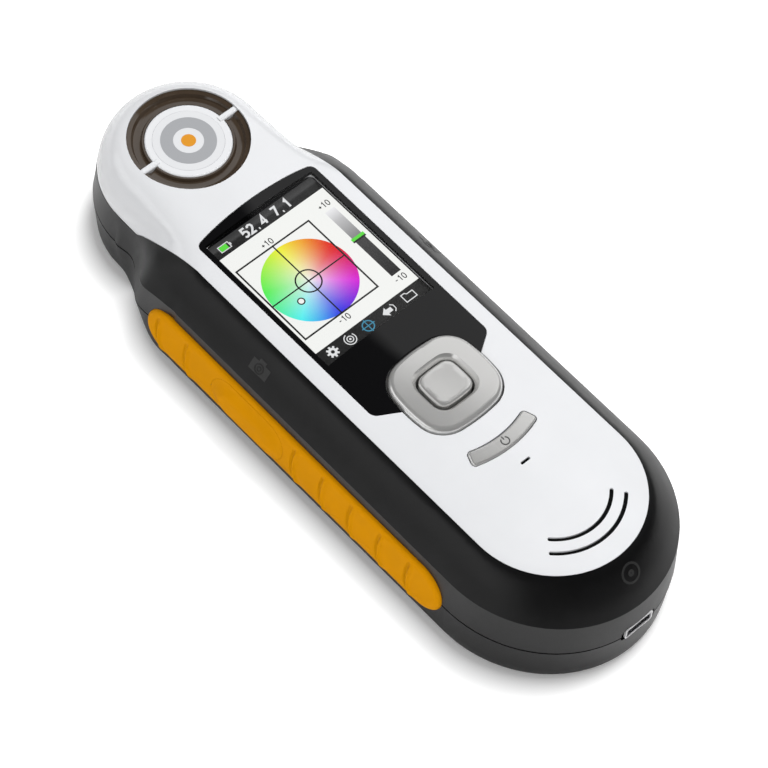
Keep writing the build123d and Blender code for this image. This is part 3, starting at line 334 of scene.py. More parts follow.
def circle(x, y, radius, start=0.0, end=360.0, step=6.0):
    """Points of an arc; a whole turn leaves out the repeated last point."""
    count = max(3, int(round(abs(end - start) / step)))
    whole = abs(end - start) >= 359.9
    spots = []
    for k in range(count if whole else count + 1):
        a = math.radians(start + (end - start) * k / count)
        spots.append((x + radius * math.cos(a), y + radius * math.sin(a)))
    return spots


class Plates:
    """Collects thin prisms drawn in millimetres on a plane, then places them."""

    GRID_STEP = 0.3

    def __init__(self):
        self.verts, self.faces, self.slots = [], [], []

    def add(self, verts, faces, slot):
        base = len(self.verts)
        self.verts += verts
        self.faces += [tuple(base + v for v in face) for face in faces]
        self.slots += [slot] * len(faces)

    def prism(self, loop, low, high, slot=0):
        n = len(loop)
        verts = [(x, y, low) for x, y in loop] + [(x, y, high) for x, y in loop]
        faces = [tuple(reversed(range(n))), tuple(range(n, 2 * n))]
        faces += [(k, (k + 1) % n, n + (k + 1) % n, n + k) for k in range(n)]
        self.add(verts, faces, slot)

    def box(self, x0, x1, y0, y1, low, high, slot=0):
        self.prism([(x0, y0), (x1, y0), (x1, y1), (x0, y1)], low, high, slot)

    def band(self, left, right, low, high, slot=0, closed=False):
        """Strip between two rows of points."""
        n = len(left)
        verts = []
        for row, z in ((left, low), (right, low), (left, high), (right, high)):
            verts += [(x, y, z) for x, y in row]
        faces = []
        for k in range(n if closed else n - 1):
            m = (k + 1) % n
            faces += [(2 * n + k, 3 * n + k, 3 * n + m, 2 * n + m), (k, m, n + m, n + k),
                      (k, 2 * n + k, 2 * n + m, m), (n + k, n + m, 3 * n + m, 3 * n + k)]
        if not closed:
            faces += [(0, n, 3 * n, 2 * n), (n - 1, 3 * n - 1, 4 * n - 1, 2 * n - 1)]
        self.add(verts, faces, slot)

    def line(self, points, width, low, high, slot=0, closed=False):
        """Stroke of even width with mitred corners."""
        n = len(points)
        left, right = [], []
        for k, (x, y) in enumerate(points):
            before = points[(k - 1) % n] if closed or k > 0 else None
            after = points[(k + 1) % n] if closed or k < n - 1 else None
            ways = []
            for a, b in ((before, (x, y)), ((x, y), after)):
                if a is not None and b is not None:
                    ways.append(Vector((b[0] - a[0], b[1] - a[1])).normalized())
            way = sum(ways, Vector((0, 0))).normalized()
            side = Vector((-way.y, way.x))
            square = Vector((-ways[0].y, ways[0].x))
            reach = width / 2 / max(0.35, side.dot(square))
            left.append((x + side.x * reach, y + side.y * reach))
            right.append((x - side.x * reach, y - side.y * reach))
        self.band(left, right, low, high, slot, closed)

    def grid(self, x0, x1, y0, y1, low, high):
        """Closed rectangular plate cut into small squares, so it can follow a curved surface."""
        nx = max(1, int(round((x1 - x0) / self.GRID_STEP)))
        ny = max(1, int(round((y1 - y0) / self.GRID_STEP)))
        xs = [x0 + (x1 - x0) * k / nx for k in range(nx + 1)]
        ys = [y0 + (y1 - y0) * k / ny for k in range(ny + 1)]
        verts = [(x, y, z) for z in (low, high) for y in ys for x in xs]
        top = (nx + 1) * (ny + 1)
        faces = []
        for j in range(ny):
            for i in range(nx):
                a = j * (nx + 1) + i
                b, c, d = a + 1, a + nx + 2, a + nx + 1
                faces += [(top + a, top + b, top + c, top + d), (a, d, c, b)]
        rim = list(range(nx + 1))
        rim += [j * (nx + 1) + nx for j in range(1, ny + 1)]
        rim += [ny * (nx + 1) + i for i in range(nx - 1, -1, -1)]
        rim += [j * (nx + 1) for j in range(ny - 1, 0, -1)]
        faces += [(a, b, top + b, top + a) for a, b in zip(rim, rim[1:] + rim[:1])]
        self.add(verts, faces, 0)

    def make(self, name, mats, body, place):
        """Object that rides on a body; place turns drawn millimetres into the shared frame."""
        obj = add_mesh(name, [place(*v) for v in self.verts], self.faces, mats[0])
        for mat in mats[1:]:
            obj.data.materials.append(mat)
        obj.data.polygons.foreach_set("material_index", self.slots)
        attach(obj, body)


ROUND_ZERO = [(0.3 + 0.27 * math.cos(a * math.pi / 8), 0.5 + 0.5 * math.sin(a * math.pi / 8))
              for a in range(16)]
STROKES = {               # strokes of each sign in a box one high: points, and whether they close
    "0": [(ROUND_ZERO, True)],
    "1": [([(0.12, 0.78), (0.34, 1.0), (0.34, 0.0)], False)],
    "2": [([(0.04, 0.78), (0.12, 0.94), (0.3, 1.0), (0.5, 0.92), (0.55, 0.72), (0.46, 0.5),
            (0.04, 0.0), (0.58, 0.0)], False)],
    "4": [([(0.44, 0.0), (0.44, 1.0), (0.02, 0.3), (0.6, 0.3)], False)],
    "5": [([(0.54, 1.0), (0.1, 1.0), (0.06, 0.55), (0.3, 0.62), (0.52, 0.5), (0.56, 0.28),
            (0.44, 0.06), (0.22, 0.0), (0.03, 0.1)], False)],
    "7": [([(0.03, 1.0), (0.56, 1.0), (0.22, 0.0)], False)],
    "+": [([(0.06, 0.48), (0.54, 0.48)], False), ([(0.3, 0.24), (0.3, 0.72)], False)],
    "-": [([(0.12, 0.48), (0.48, 0.48)], False)],
    ".": [([(0.14, 0.0), (0.28, 0.0)], False)],
    " ": [],
}


def number(plates, text, x, y, high, width, low, top, slot):
    """Number centred on a spot."""
    pitch = 0.76 * high
    left = x - (len(text) - 0.2) * pitch / 2
    for k, sign in enumerate(text):
        for points, closed in STROKES[sign]:
            spots = [(left + k * pitch + px * high, y + (py - 0.5) * high) for px, py in points]
            plates.line(spots, width, low, top, slot, closed)


# --- screen -----------------------------------------------------------------------
GLASS_HALF, GLASS_THICK = 15.7, 0.55      # the display's glass, a little larger than the lit area
GLASS_LOW, GLASS_HIGH = LIT_LOW - 1.2, LIT_HIGH + 0.9
WHEEL = (-3.2, 73.14, 10.92)              # middle and radius of the colour wheel
WHEEL_TURN, WHEEL_SWING = 29.0, 11.0      # degrees the hues are turned by, and how much that varies
WHEEL_DARK_SIDE = 30.0                    # degrees below the wheel's right, where it is dimmest
CROSS_X = -3.69                           # the plot's upright line
CROSS_LOW, CROSS_HIGH = 62.3, 85.0        # both lines of the cross end inside the plot's border
CROSS_LEFT, CROSS_RIGHT = -14.3, 6.9
CROSS_RING = 2.94
SAMPLE_X, SAMPLE_Y, SAMPLE_R = -8.5, 70.2, 0.8        # ring on the measured colour
PLOT_LEFT, PLOT_RIGHT = -14.4, 7.03
PLOT_LOW, PLOT_HIGH = 62.22, 85.11
BAR_LEFT, BAR_RIGHT = 11.2, 13.96         # lightness bar beside the plot
BAR_LOW, BAR_HIGH = 62.2, 84.3
BAR_MARK = 74.2                           # place of the reading on the bar
BAR_MARK_SHARE = (BAR_MARK - BAR_LOW) / (BAR_HIGH - BAR_LOW)
TITLE_LOW, TITLE_HIGH = 89.8, 93.7        # dark strip with the reading and the battery
READING = ("52.4 7.1", 0.3, 91.75)
BATTERY_CASE = [(-13.4, 90.95), (-10.6, 90.95), (-10.6, 92.55), (-13.4, 92.55)]
BATTERY_TIP = (-10.45, -10.15, 91.4, 92.1)
BATTERY_CHARGE = (-13.25, -11.2, 91.1, 92.4)
ICONS_HIGH, ICONS_Y = 58.02, 56.0         # dark strip with the symbols: its top, their middle
LAYER = 0.015                             # thickness of each layer of the picture
PIXEL = 0.17
SIGNS = (("+10", -4.1, 86.5), ("+10", 12.5, 86.1), ("-10", -4.3, 60.8), ("-10", 12.4, 60.7))
GLASS, WHITE, INK, DISC, SCALE, TITLE, GREEN, BLUE, TEXT = range(9)      # material slots


def lamp_color(name, color):
    """Lit display colour: light of its own, with a faint pixel grid."""
    t = Tree(name)
    x, y, _ = t.xyz()
    per_pixel = 2 * math.pi / (PIXEL * MM)
    across = t.math("SINE", t.math("MULTIPLY", x, per_pixel))
    down = t.math("SINE", t.math("MULTIPLY", y, per_pixel))
    t.lit(color, t.ramp(t.math("MULTIPLY", across, down), -1.0, 1.0, 0.97, 1.03))
    return t.mat


def hue_wheel():
    """Lit colour disc: hue round the circle, fading to white in the middle."""
    t = Tree("screen_wheel")
    px, py, _ = t.xyz()
    dx = t.math("SUBTRACT", px, WHEEL[0] * MM)
    dy = t.math("SUBTRACT", py, along(WHEEL[1]))
    turn = t.math("ARCTAN2", dy, dx)
    lean = t.math("COSINE", turn)
    swing = t.math("MULTIPLY", lean, math.radians(WHEEL_SWING))
    shift = t.math("SUBTRACT", math.radians(WHEEL_TURN), swing)
    turns = t.math("DIVIDE", t.math("SUBTRACT", turn, shift), 2 * math.pi)
    hue = t.math("FRACT", t.math("ADD", turns, 2.0))
    away = t.math("SQRT", t.math("ADD", t.math("MULTIPLY", dx, dx), t.math("MULTIPLY", dy, dy)))
    strength = t.math("POWER", t.math("DIVIDE", away, WHEEL[2] * MM, clamp=True), 0.9)
    depth = t.math("ADD", t.math("MULTIPLY", lean, 0.15), 0.84)
    dark = t.math("MAXIMUM", t.math("COSINE", t.math("ADD", turn, math.radians(WHEEL_DARK_SIDE))), 0.0)
    shade = t.math("MULTIPLY", t.math("MULTIPLY", dark, strength), 0.12)
    color = t.nodes.new("ShaderNodeCombineColor")
    color.mode = "HSV"
    t.put(color.inputs[0], hue)
    t.put(color.inputs[1], t.math("MULTIPLY", strength, depth))
    t.put(color.inputs[2], t.math("SUBTRACT", 0.96, shade))
    screen_level = t.nodes.new("ShaderNodeGamma")
    screen_level.inputs["Gamma"].default_value = 2.0
    t.links.new(color.outputs[0], screen_level.inputs["Color"])
    t.lit(screen_level.outputs[0])
    return t.mat


def shade_bar(name, low, high, stops):
    """Lit bar whose brightness changes along the length; the first two stops are its ends."""
    t = Tree(name)
    ramp = t.nodes.new("ShaderNodeValToRGB")
    t.links.new(t.ramp(t.xyz()[1], along(low), along(high)), ramp.inputs[0])
    for k, (spot, level) in enumerate(stops):
        stop = ramp.color_ramp.elements[k] if k < 2 else ramp.color_ramp.elements.new(spot)
        stop.position = spot
        stop.color = (level, level, level * 1.02, 1.0)
    t.lit(ramp.outputs["Color"])
    return t.mat


# Function symbols, drawn round their own middle.
GEAR_TOOTH = ((-14, 1.05), (-9, 1.5), (9, 1.5), (14, 1.05))        # (degrees, radius) of one of eight
GEAR_RIM = 0.45
BACK_ARROW = [(-1.6, 0.0), (-0.2, -1.25), (-0.2, -0.55), (1.1, -0.55), (1.1, 0.55), (-0.2, 0.55),
              (-0.2, 1.25)]
BACK_BOW = [(1.3, -1.1), (1.9, -0.5), (1.9, 0.5), (1.3, 1.1)]
FOLDER = [(-1.5, -1.0), (1.5, -1.0), (1.5, 0.7), (-0.1, 0.7), (-0.5, 1.15), (-1.5, 1.15)]


def moved(points, x, y):
    """Drawing shifted to a new middle."""
    return [(x + px, y + py) for px, py in points]


def icons(g, y, low, high):
    """Row of plain function symbols: gear, swirl, target, arrow and folder."""
    x = -12.0
    gear, hole = [], []
    for tooth in range(8):
        for turn, radius in GEAR_TOOTH:
            a = math.radians(45.0 * tooth + turn)
            gear.append((x + radius * math.cos(a), y + radius * math.sin(a)))
            hole.append((x + GEAR_RIM * math.cos(a), y + GEAR_RIM * math.sin(a)))
    g.band(hole, gear, low, high, TEXT, True)
    x = -6.85
    g.line(circle(x, y, 0.75, step=15.0), 0.24, low, high, TEXT, True)
    g.prism(circle(x, y, 0.28, step=30.0), low, high, TEXT)
    g.line(circle(x, y, 1.4, 100.0, 395.0), 0.24, low, high, TEXT)
    x = -1.5
    g.line(circle(x, y, 1.35, step=10.0), 0.28, low, high, BLUE, True)
    for stroke in ([(0, -1.8), (0, 1.8)], [(-1.8, 0), (-0.12, 0)], [(0.12, 0), (1.8, 0)]):
        g.line(moved(stroke, x, y), 0.22, low, high, BLUE)
    x = 4.4
    g.prism(moved(BACK_ARROW, x, y), low, high, TEXT)
    g.line(moved(BACK_BOW, x, y), 0.22, low, high, TEXT)
    x = 10.7
    g.line(moved(FOLDER, x, y), 0.24, low, high, TEXT, True)


def screen_looks():
    """Materials of the display, in the order of the slot numbers."""
    scale = [(0.0, 0.008), (1.0, 0.90), (BAR_MARK_SHARE - 0.01, 0.05), (BAR_MARK_SHARE + 0.01, 0.20),
             (0.85, 0.55)]
    title = [(0.0, 0.004), (1.0, 0.035), (0.45, 0.006), (0.6, 0.05)]
    return [finish_of("screen_glass", (0.004, 0.004, 0.005), 0.12, grain=2.0, depth=0.001, tone=0.02),
            lamp_color("screen_white", (0.955, 0.965, 0.94)),
            lamp_color("screen_ink", (0.004, 0.004, 0.004)),
            hue_wheel(),
            shade_bar("screen_scale", BAR_LOW, BAR_HIGH, scale),
            shade_bar("screen_title", TITLE_LOW, TITLE_HIGH, title),
            lamp_color("screen_green", (0.11, 0.75, 0.05)),
            lamp_color("screen_blue", (0.05, 0.27, 0.42)),
            lamp_color("screen_text", (0.80, 0.81, 0.82))]


def plot(g, one, two, three, four):
    """Colour wheel in its frame, with the cross and the two rings."""
    x, y, radius = WHEEL
    g.prism(circle(x, y, radius, step=2.5), one, two, DISC)
    border = [(PLOT_LEFT, PLOT_LOW), (PLOT_RIGHT, PLOT_LOW),
              (PLOT_RIGHT, PLOT_HIGH), (PLOT_LEFT, PLOT_HIGH)]
    g.line(border, 0.42, one, three, INK, True)
    g.line([(CROSS_X, CROSS_LOW), (CROSS_X, CROSS_HIGH)], 0.34, two, three, INK)
    g.line([(CROSS_LEFT, y), (CROSS_RIGHT, y)], 0.34, two, three, INK)
    g.line(circle(CROSS_X, y, CROSS_RING, step=5.0), 0.36, three, four, INK, True)
    sample = circle(SAMPLE_X, SAMPLE_Y, SAMPLE_R, step=15.0)
    g.prism(sample, two, three, WHITE)
    g.line(sample, 0.3, three, four, INK, True)
    for sign, sign_x, sign_y in SIGNS:
        number(g, sign, sign_x, sign_y, 1.45, 0.22, one, two, INK)


def screen():
    """The display's glass with everything it shows, each a thin plate above the last."""
    g = Plates()
    one, two, three, four = (LIT_Z + LAYER * k for k in (1, 2, 3, 4))
    g.box(-GLASS_HALF, GLASS_HALF, GLASS_LOW, GLASS_HIGH, LIT_Z - GLASS_THICK, LIT_Z, GLASS)
    g.box(-LIT_HALF, LIT_HALF, ICONS_HIGH, TITLE_LOW, LIT_Z, one, WHITE)
    g.box(-LIT_HALF, LIT_HALF, TITLE_LOW, LIT_HIGH, LIT_Z, one, TITLE)
    g.box(-LIT_HALF, LIT_HALF, LIT_LOW, ICONS_HIGH, LIT_Z, one, TITLE)
    plot(g, one, two, three, four)
    g.box(BAR_LEFT, BAR_RIGHT, BAR_LOW, BAR_HIGH - 0.03, one, two, SCALE)
    for low, high, slot in ((0.25, 1.05, GREEN), (-0.2, 0.25, INK)):
        g.box(BAR_LEFT - 0.45, BAR_RIGHT + 0.44, BAR_MARK + low, BAR_MARK + high, two, three, slot)
    number(g, *READING, 2.35, 0.52, one, two, TEXT)
    g.line(BATTERY_CASE, 0.2, one, two, TEXT, True)
    g.box(*BATTERY_TIP, one, two, TEXT)
    g.box(*BATTERY_CHARGE, one, two, GREEN)
    icons(g, ICONS_Y, one, two)
    g.make("screen_image", screen_looks(), "housing", lambda x, y, z: (x * MM, along(y), z * MM))


screen()


# --- printed marks and small trim -------------------------------------------------
TARGET_RING, TARGET_DOT = (3.5, 6.4), 1.7
TARGET_RISE = 0.05        # mm that the target stands out of its badge
POWER_RING, POWER_WIDTH, POWER_RISE = 0.95, 0.26, 0.04
SKIN_SUNK, SKIN_RISE = -0.03, 0.06        # marks on a curved skin start a little below it
SYMBOL_LENS_RISE = 0.12
SYMBOL_BODY, SYMBOL_HUMP = (-2.7, 2.7, -1.7, 1.2), (-1.1, 0.9, 1.2, 2.0)
SYMBOL_LENS = (-0.1, -0.25)
SYMBOL_Y, SYMBOL_Z = 64.7, 26.7
TAIL_MARK_Z = 28.7
LIP_DEPTH, LIP_INSIDE = 0.50, 0.30        # the socket's rolled lip, and how much of it is inside
SOUND_SLOTS = ((12.85, 48.0, 31.85), (16.05, 46.0, 31.50))   # radius, half angle, top of the dark plate painted as shade under the slot
# width and thickness of the dark plates that paint the shade in the slots
SLOT_SHADE_WIDTH, SHADE_PLATE_THICK = 0.84, 0.05
MICROPHONE_Y, MICROPHONE_Z = 8.1, 32.35


def hub_mark():
    """Plain target: a ring and a dot."""
    low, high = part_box("hub_badge")
    mid_y = (low.y + high.y) / 2
    g = Plates()
    inner, outer = (circle(0, 0, radius, step=5.0) for radius in TARGET_RING)
    g.band(inner, outer, 0.0, TARGET_RISE, 0, True)
    g.prism(circle(0, 0, TARGET_DOT, step=10.0), 0.0, TARGET_RISE, 1)
    g.make("hub_mark", [M["mark_grey"], M["mark_orange"]], "housing",
           lambda x, y, z: (x * MM, mid_y + y * MM, high.z + z * MM))


def power_mark():
    """On and standby symbol on the power bar: a ring open at the top, and a stroke."""
    low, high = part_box("power_button")
    mid_y = low.y + 2.6 * MM
    g = Plates()
    g.line(circle(0, 0, POWER_RING, 125.0, 415.0, step=10.0), POWER_WIDTH, 0.0, POWER_RISE)
    g.line([(0, 0.35), (0, 1.3)], POWER_WIDTH, 0.0, POWER_RISE)
    g.make("power_mark", [M["mark_dark"]], "power_button",
           lambda x, y, z: (x * MM, mid_y + y * MM, high.z + z * MM))


def skin_of(node):
    """Ray target of one CAD part in the shared frame."""
    obj = NODES[node]
    verts = [obj.matrix_world @ v.co for v in obj.data.vertices]
    faces = [tuple(p.vertices) for p in obj.data.polygons]
    return BVHTree.FromPolygons(verts, faces)


def on_skin(tree, start, way, side):
    """Placer that lays flat drawings on a curved skin around the spot a ray meets."""
    spot, normal, _, _ = tree.ray_cast(Vector(start), Vector(way).normalized())
    across = Vector(side).normalized()
    normal = (normal - across * normal.dot(across)).normalized()
    rise = normal.cross(across)
    clear = normal * 0.003

    def place(x, y, z):
        above = spot + across * x * MM + rise * y * MM + clear
        hit, _, _, _ = tree.ray_cast(above, -normal)
        return tuple((hit if hit is not None else above - clear) + normal * z * MM)

    return place


shell_skin = skin_of("upper_shell")


def camera_mark(name, side):
    """Plain camera symbol beside the measure button: body, hump and lens."""
    g = Plates()
    g.grid(*SYMBOL_BODY, SKIN_SUNK, SKIN_RISE)
    g.grid(*SYMBOL_HUMP, SKIN_SUNK, SKIN_RISE)
    g.line(circle(*SYMBOL_LENS, 1.15, step=10.0), 0.3, SKIN_SUNK, SYMBOL_LENS_RISE, 1, True)
    g.line(circle(*SYMBOL_LENS, 0.5, step=15.0), 0.26, SKIN_SUNK, SYMBOL_LENS_RISE, 1, True)
    outside = (side * 0.06, along(SYMBOL_Y), SYMBOL_Z * MM)
    place = on_skin(shell_skin, outside, (-side, 0, 0), (0, side, 0))
    g.make(name, [M["mark_shell"], M["mark_shell_dark"]], "housing", place)


def tail_mark():
    """Plain ring and dot on the tail."""
    g = Plates()
    g.line(circle(0, 0, 2.2, step=8.0), 0.55, SKIN_SUNK, SKIN_RISE, 0, True)
    inner, outer = (circle(0, 0, radius, step=20.0) for radius in (0.15, 0.8))
    g.band(inner, outer, SKIN_SUNK, SKIN_RISE, 0, True)
    outside = (0, along(-60.0), TAIL_MARK_Z * MM)
    place = on_skin(shell_skin, outside, (0, 1, 0), (1, 0, 0))
    g.make("tail_mark", [M["mark_shell"]], "housing", place)


def socket_lip():
    """Rolled metal lip round the charging socket's mouth."""
    low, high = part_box("usb_shell")
    half_x, half_z = (high.x - low.x) / 2 / MM, (high.z - low.z) / 2 / MM
    mid_z = (high.z + low.z) / 2 / MM

    def rounded(grow, corner):
        loop = []
        for turn, sx, sz in ((0, 1, 1), (90, -1, 1), (180, -1, -1), (270, 1, -1)):
            cx, cz = sx * (half_x + grow - corner), sz * (half_z + grow - corner)
            loop += circle(cx, cz, corner, turn, turn + 90, step=15.0)
        return loop

    g = Plates()
    g.band(rounded(-0.20, 0.5), rounded(0.16, 0.9), 0.0, LIP_DEPTH, 0, True)
    g.make("socket_lip", [M["bright_tin"]], "housing",
           lambda x, y, z: (x * MM, low.y + (LIP_INSIDE - z) * MM, (mid_z + y) * MM))


def slot_shade_plates():
    """Dark plates under the sound slots and the microphone slot, put there as painted shade inside the
    slots.
    """
    g = Plates()
    for radius, half, top in SOUND_SLOTS:
        # painted shade: a dark strip under each sound slot
        arc = circle(0, 0, radius, 270 - half, 270 + half, step=2.0)
        g.line(arc, SLOT_SHADE_WIDTH, top - SHADE_PLATE_THICK, top)
    g.make("speaker_slot_shade", [M["foam"]], "housing", lambda x, y, z: (x * MM, along(y), z * MM))
    g = Plates()
    # painted shade: a dark plate under the microphone slot
    g.box(-1.1, 1.1, -0.32, 0.32, MICROPHONE_Z - SHADE_PLATE_THICK, MICROPHONE_Z)
    g.make("microphone_slot_shade", [M["foam"]], "housing",
           lambda x, y, z: (x * MM, along(MICROPHONE_Y + y), z * MM))


slot_shade_plates()
socket_lip()
hub_mark()
power_mark()
camera_mark("camera_mark_left", -1)
camera_mark("camera_mark_right", 1)
tail_mark()


# --- grips and side buttons -------------------------------------------------------
def pill(node):
    """Ends along the length, radius and middle height of a long round-ended CAD part, in mm."""
    low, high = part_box(node)
    ends = ((low.y - TAIL_Y) / MM, (high.y - TAIL_Y) / MM)
    return ends, (high.z - low.z) / 2 / MM, (low.z + high.z) / 2 / MM


GRIP_ENDS, GRIP_R, GRIP_MID_Z = pill("grip_right")
CAP_ENDS, CAP_R, _ = pill("measure_button_right")
WALL = ((28.3, 21.0), (28.85, 13.0), (28.6, 4.4))      # side wall: mm from the axis, at a height
PROUD = 1.0                               # mm that the rubber stands out of the wall
SEAM = 0.035                              # width of the gap round the button
GRIP_DEEP, CAP_DEEP = -0.9, -0.1          # how far their walls reach into the recess
GRIP_STEP, CAP_STEP = 0.33, 0.5           # spacing of the skins' stations along the length
GRIP_ROWS, CAP_ROWS = 22, 36              # and their number across
EDGE_GRIP, EDGE_CAP = 1.7, 0.3            # widths of the rounded rims
RIM_SINK, RIM_SINK_WIDTH = 0.08, 0.18     # the rubber falls away slightly at the seam
BELLY, BELLY_LOW, BELLY_WIDTH = 0.5, 3.2, 4.5          # fuller below the middle
RIDGES = (92.6, 83.2, 47.4, 38.2, 29.0, 19.8, 10.6)    # their places along the length
RIDGE_HIGH, RIDGE_WIDTH = 0.50, 0.60
RIDGE_BOW, RIDGE_SLANT = 30.0, 0.12       # how the ridges bow and lean
RIDGE_CLEAR, RIDGE_FADE = 1.2, 1.6        # they die out before the rim
GROOVE_DEEP, GROOVE_WIDTH, GROOVE_OFF = 0.60, 0.40, 0.85     # hollow on the head side of a ridge
DOME_HIGH, DOME_WIDTH = 1.15, 4.2
CREASE_LOW, CREASE_REACH, CREASE_DEEP = 2.9, 7.5, 0.30       # crease under the button's dome
LOW, HIGH = 0, 1


def wall_x(z):
    """Bow of the side wall, mm from the axis at a height: a parabola through three spots."""
    total = 0.0
    for k, (x, at) in enumerate(WALL):
        share = 1.0
        for m, (_, other) in enumerate(WALL):
            if m != k:
                share *= (z - other) / (at - other)
        total += x * share
    return total


def inside_pill(y, z, ends, radius):
    """Distance in from the outline of a long round-ended shape, negative outside."""
    spine = min(max(y, ends[0] + radius), ends[1] - radius)
    return radius - math.hypot(y - spine, z - GRIP_MID_Z)


def bell(value, width):
    """Soft bump, 1 high in the middle."""
    return math.exp(-(value / width) ** 2)


def held(value):
    """Value kept between 0 and 1."""
    return min(1.0, max(0.0, value))


def round_over(depth, width):
    """Quarter-round rise from 0 at the edge to 1 inside."""
    return math.sqrt(1.0 - (1.0 - held(depth / width)) ** 2)


def grip_height(y, z):
    """How far the grip stands out of the wall."""
    edge = inside_pill(y, z, GRIP_ENDS, GRIP_R)
    from_cap = -inside_pill(y, z, CAP_ENDS, CAP_R)
    rise = z - GRIP_MID_Z
    high = PROUD * round_over(edge, EDGE_GRIP)
    high += BELLY * held(edge / 2.5) * bell(rise + BELLY_LOW, BELLY_WIDTH)
    fade = held((edge - RIDGE_CLEAR) / RIDGE_FADE)
    bow = rise * rise / RIDGE_BOW - RIDGE_SLANT * rise
    for ridge in RIDGES:
        off = y - ridge + bow
        groove = GROOVE_DEEP * bell(off - GROOVE_OFF, GROOVE_WIDTH)
        high += fade * (RIDGE_HIGH * bell(off, RIDGE_WIDTH) - groove)
    return high - RIM_SINK * bell(max(from_cap, 0.0), RIM_SINK_WIDTH)


def cap_height(y, z):
    """How far the measure button stands out of the wall."""
    edge = inside_pill(y, z, CAP_ENDS, CAP_R)
    dome = held(edge / DOME_WIDTH)
    high = PROUD - RIM_SINK * (1.0 - round_over(edge, EDGE_CAP))
    high += DOME_HIGH * dome * dome * (3 - 2 * dome)
    high += BELLY * bell(z - GRIP_MID_Z + BELLY_LOW, BELLY_WIDTH)
    mid = (CAP_ENDS[0] + CAP_ENDS[1]) / 2
    reach = held((CREASE_REACH - abs(y - mid)) / 1.2)
    return high - CREASE_DEEP * reach * bell(z - (GRIP_MID_Z - CREASE_LOW), 0.30)


def column_ends(y, ends, radius):
    """Low and high edge of a round-ended outline at y, or its middle outside."""
    spine = min(max(y, ends[0] + radius), ends[1] - radius)
    square = radius * radius - (y - spine) ** 2
    half = math.sqrt(square) if square > 0 else 0.0
    return GRIP_MID_Z - half, GRIP_MID_Z + half


def edge_of(ends, radius, which):
    """Low or high edge of a round-ended outline, as a function of y."""
    return lambda y: column_ends(y, ends, radius)[which]


def spaced(start, end, step, tight):
    """Stations along y, drawn together towards round ends and other tight spots."""
    spots = {start, end}
    count = int((end - start) / step)
    for k in range(1, count):
        spots.add(start + (end - start) * k / count)
    for centre, way, radius in tight:
        for k in range(1, 26):
            turn = math.radians(90.0 * k / 26)
            spots.add(centre + way * radius * (1 - math.cos(turn)))
    ordered = sorted(v for v in spots if start <= v <= end)
    kept = [ordered[0]]
    for value in ordered[1:]:
        if value - kept[-1] > 0.012:
            kept.append(value)
    kept[-1] = end
    return kept


def edge_spread(low, high, count):
    """Stations between two edges, closer together near both."""
    return [low + (high - low) * (1 - math.cos(math.pi * k / count)) / 2 for k in range(count + 1)]


def strip_piece(stations, low_of, high_of, count, height, side):
    """Open skin between two edge curves: its vertices, true normals and faces."""
    rows = [[(y, z) for z in edge_spread(low_of(y), high_of(y), count)] for y in stations]
    n = count + 1
    h = 0.05
    verts, slopes = [], []
    for row in rows:
        for y, z in row:
            verts.append((side * (wall_x(z) + height(y, z)) * MM, along(y), z * MM))
            dy = (height(y + h, z) - height(y - h, z)) / (2 * h)
            dz = (wall_x(z + h) + height(y, z + h) - wall_x(z - h) - height(y, z - h)) / (2 * h)
            slopes.append(Vector((side, -dy, -dz)).normalized())
    faces = []
    for k in range(len(rows) - 1):
        for m in range(n - 1):
            a, b = k * n + m, (k + 1) * n + m
            faces.append((a, b, b + 1, a + 1) if side > 0 else (a, a + 1, b + 1, b))
    return verts, slopes, faces


def walled(parts, side, depth, loops):
    """Adds walls that run from outline loops down into the recess."""
    verts, slopes, faces = [], [], []
    for more_verts, more_slopes, more_faces in parts:
        base = len(verts)
        verts += more_verts
        slopes += more_slopes
        faces += [tuple(base + v for v in face) for face in more_faces]
    for loop, height, inward in loops:
        base = len(verts)
        n = len(loop)
        for level in (None, depth):
            for k, (y, z) in enumerate(loop):
                high = height(y, z) if level is None else level
                verts.append((side * (wall_x(z) + high) * MM, along(y), z * MM))
                after, before = loop[(k + 1) % n], loop[(k - 1) % n]
                way = Vector((0, after[0] - before[0], after[1] - before[1])).normalized()
                slopes.append(Vector((0, way.z, -way.y)) * (-1 if inward else 1))
        for k in range(n):
            m = (k + 1) % n
            a, b, c, d = base + k, base + m, base + n + m, base + n + k
            flip = (side > 0) == inward
            faces.append((a, b, c, d) if flip else (a, d, c, b))
    return verts, slopes, faces


def outline_loop(ends, radius, step=0.6):
    """Round-ended loop, running towards the head along the low edge."""
    a, b = ends[0] + radius, ends[1] - radius
    count = max(2, int((b - a) / step))
    turns = [math.radians(6 * k) for k in range(30)]
    loop = [(a + (b - a) * k / count, GRIP_MID_Z - radius) for k in range(count)]
    loop += [(b + radius * math.sin(turn), GRIP_MID_Z - radius * math.cos(turn)) for turn in turns]
    loop += [(b - (b - a) * k / count, GRIP_MID_Z + radius) for k in range(count)]
    loop += [(a - radius * math.sin(turn), GRIP_MID_Z + radius * math.cos(turn)) for turn in turns]
    return loop


def soft_piece(name, node, body, data):
    """Rubber piece with its true normals, in place of a CAD part."""
    verts, slopes, faces = data
    obj = add_mesh(name, verts, faces, M["orange_rubber"], rounded=True)
    obj.data.normals_split_custom_set_from_vertices([tuple(v) for v in slopes])
    weld = obj.modifiers.new("weld", "WELD")
    weld.merge_threshold = 1e-6
    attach(obj, body)
    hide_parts(node)


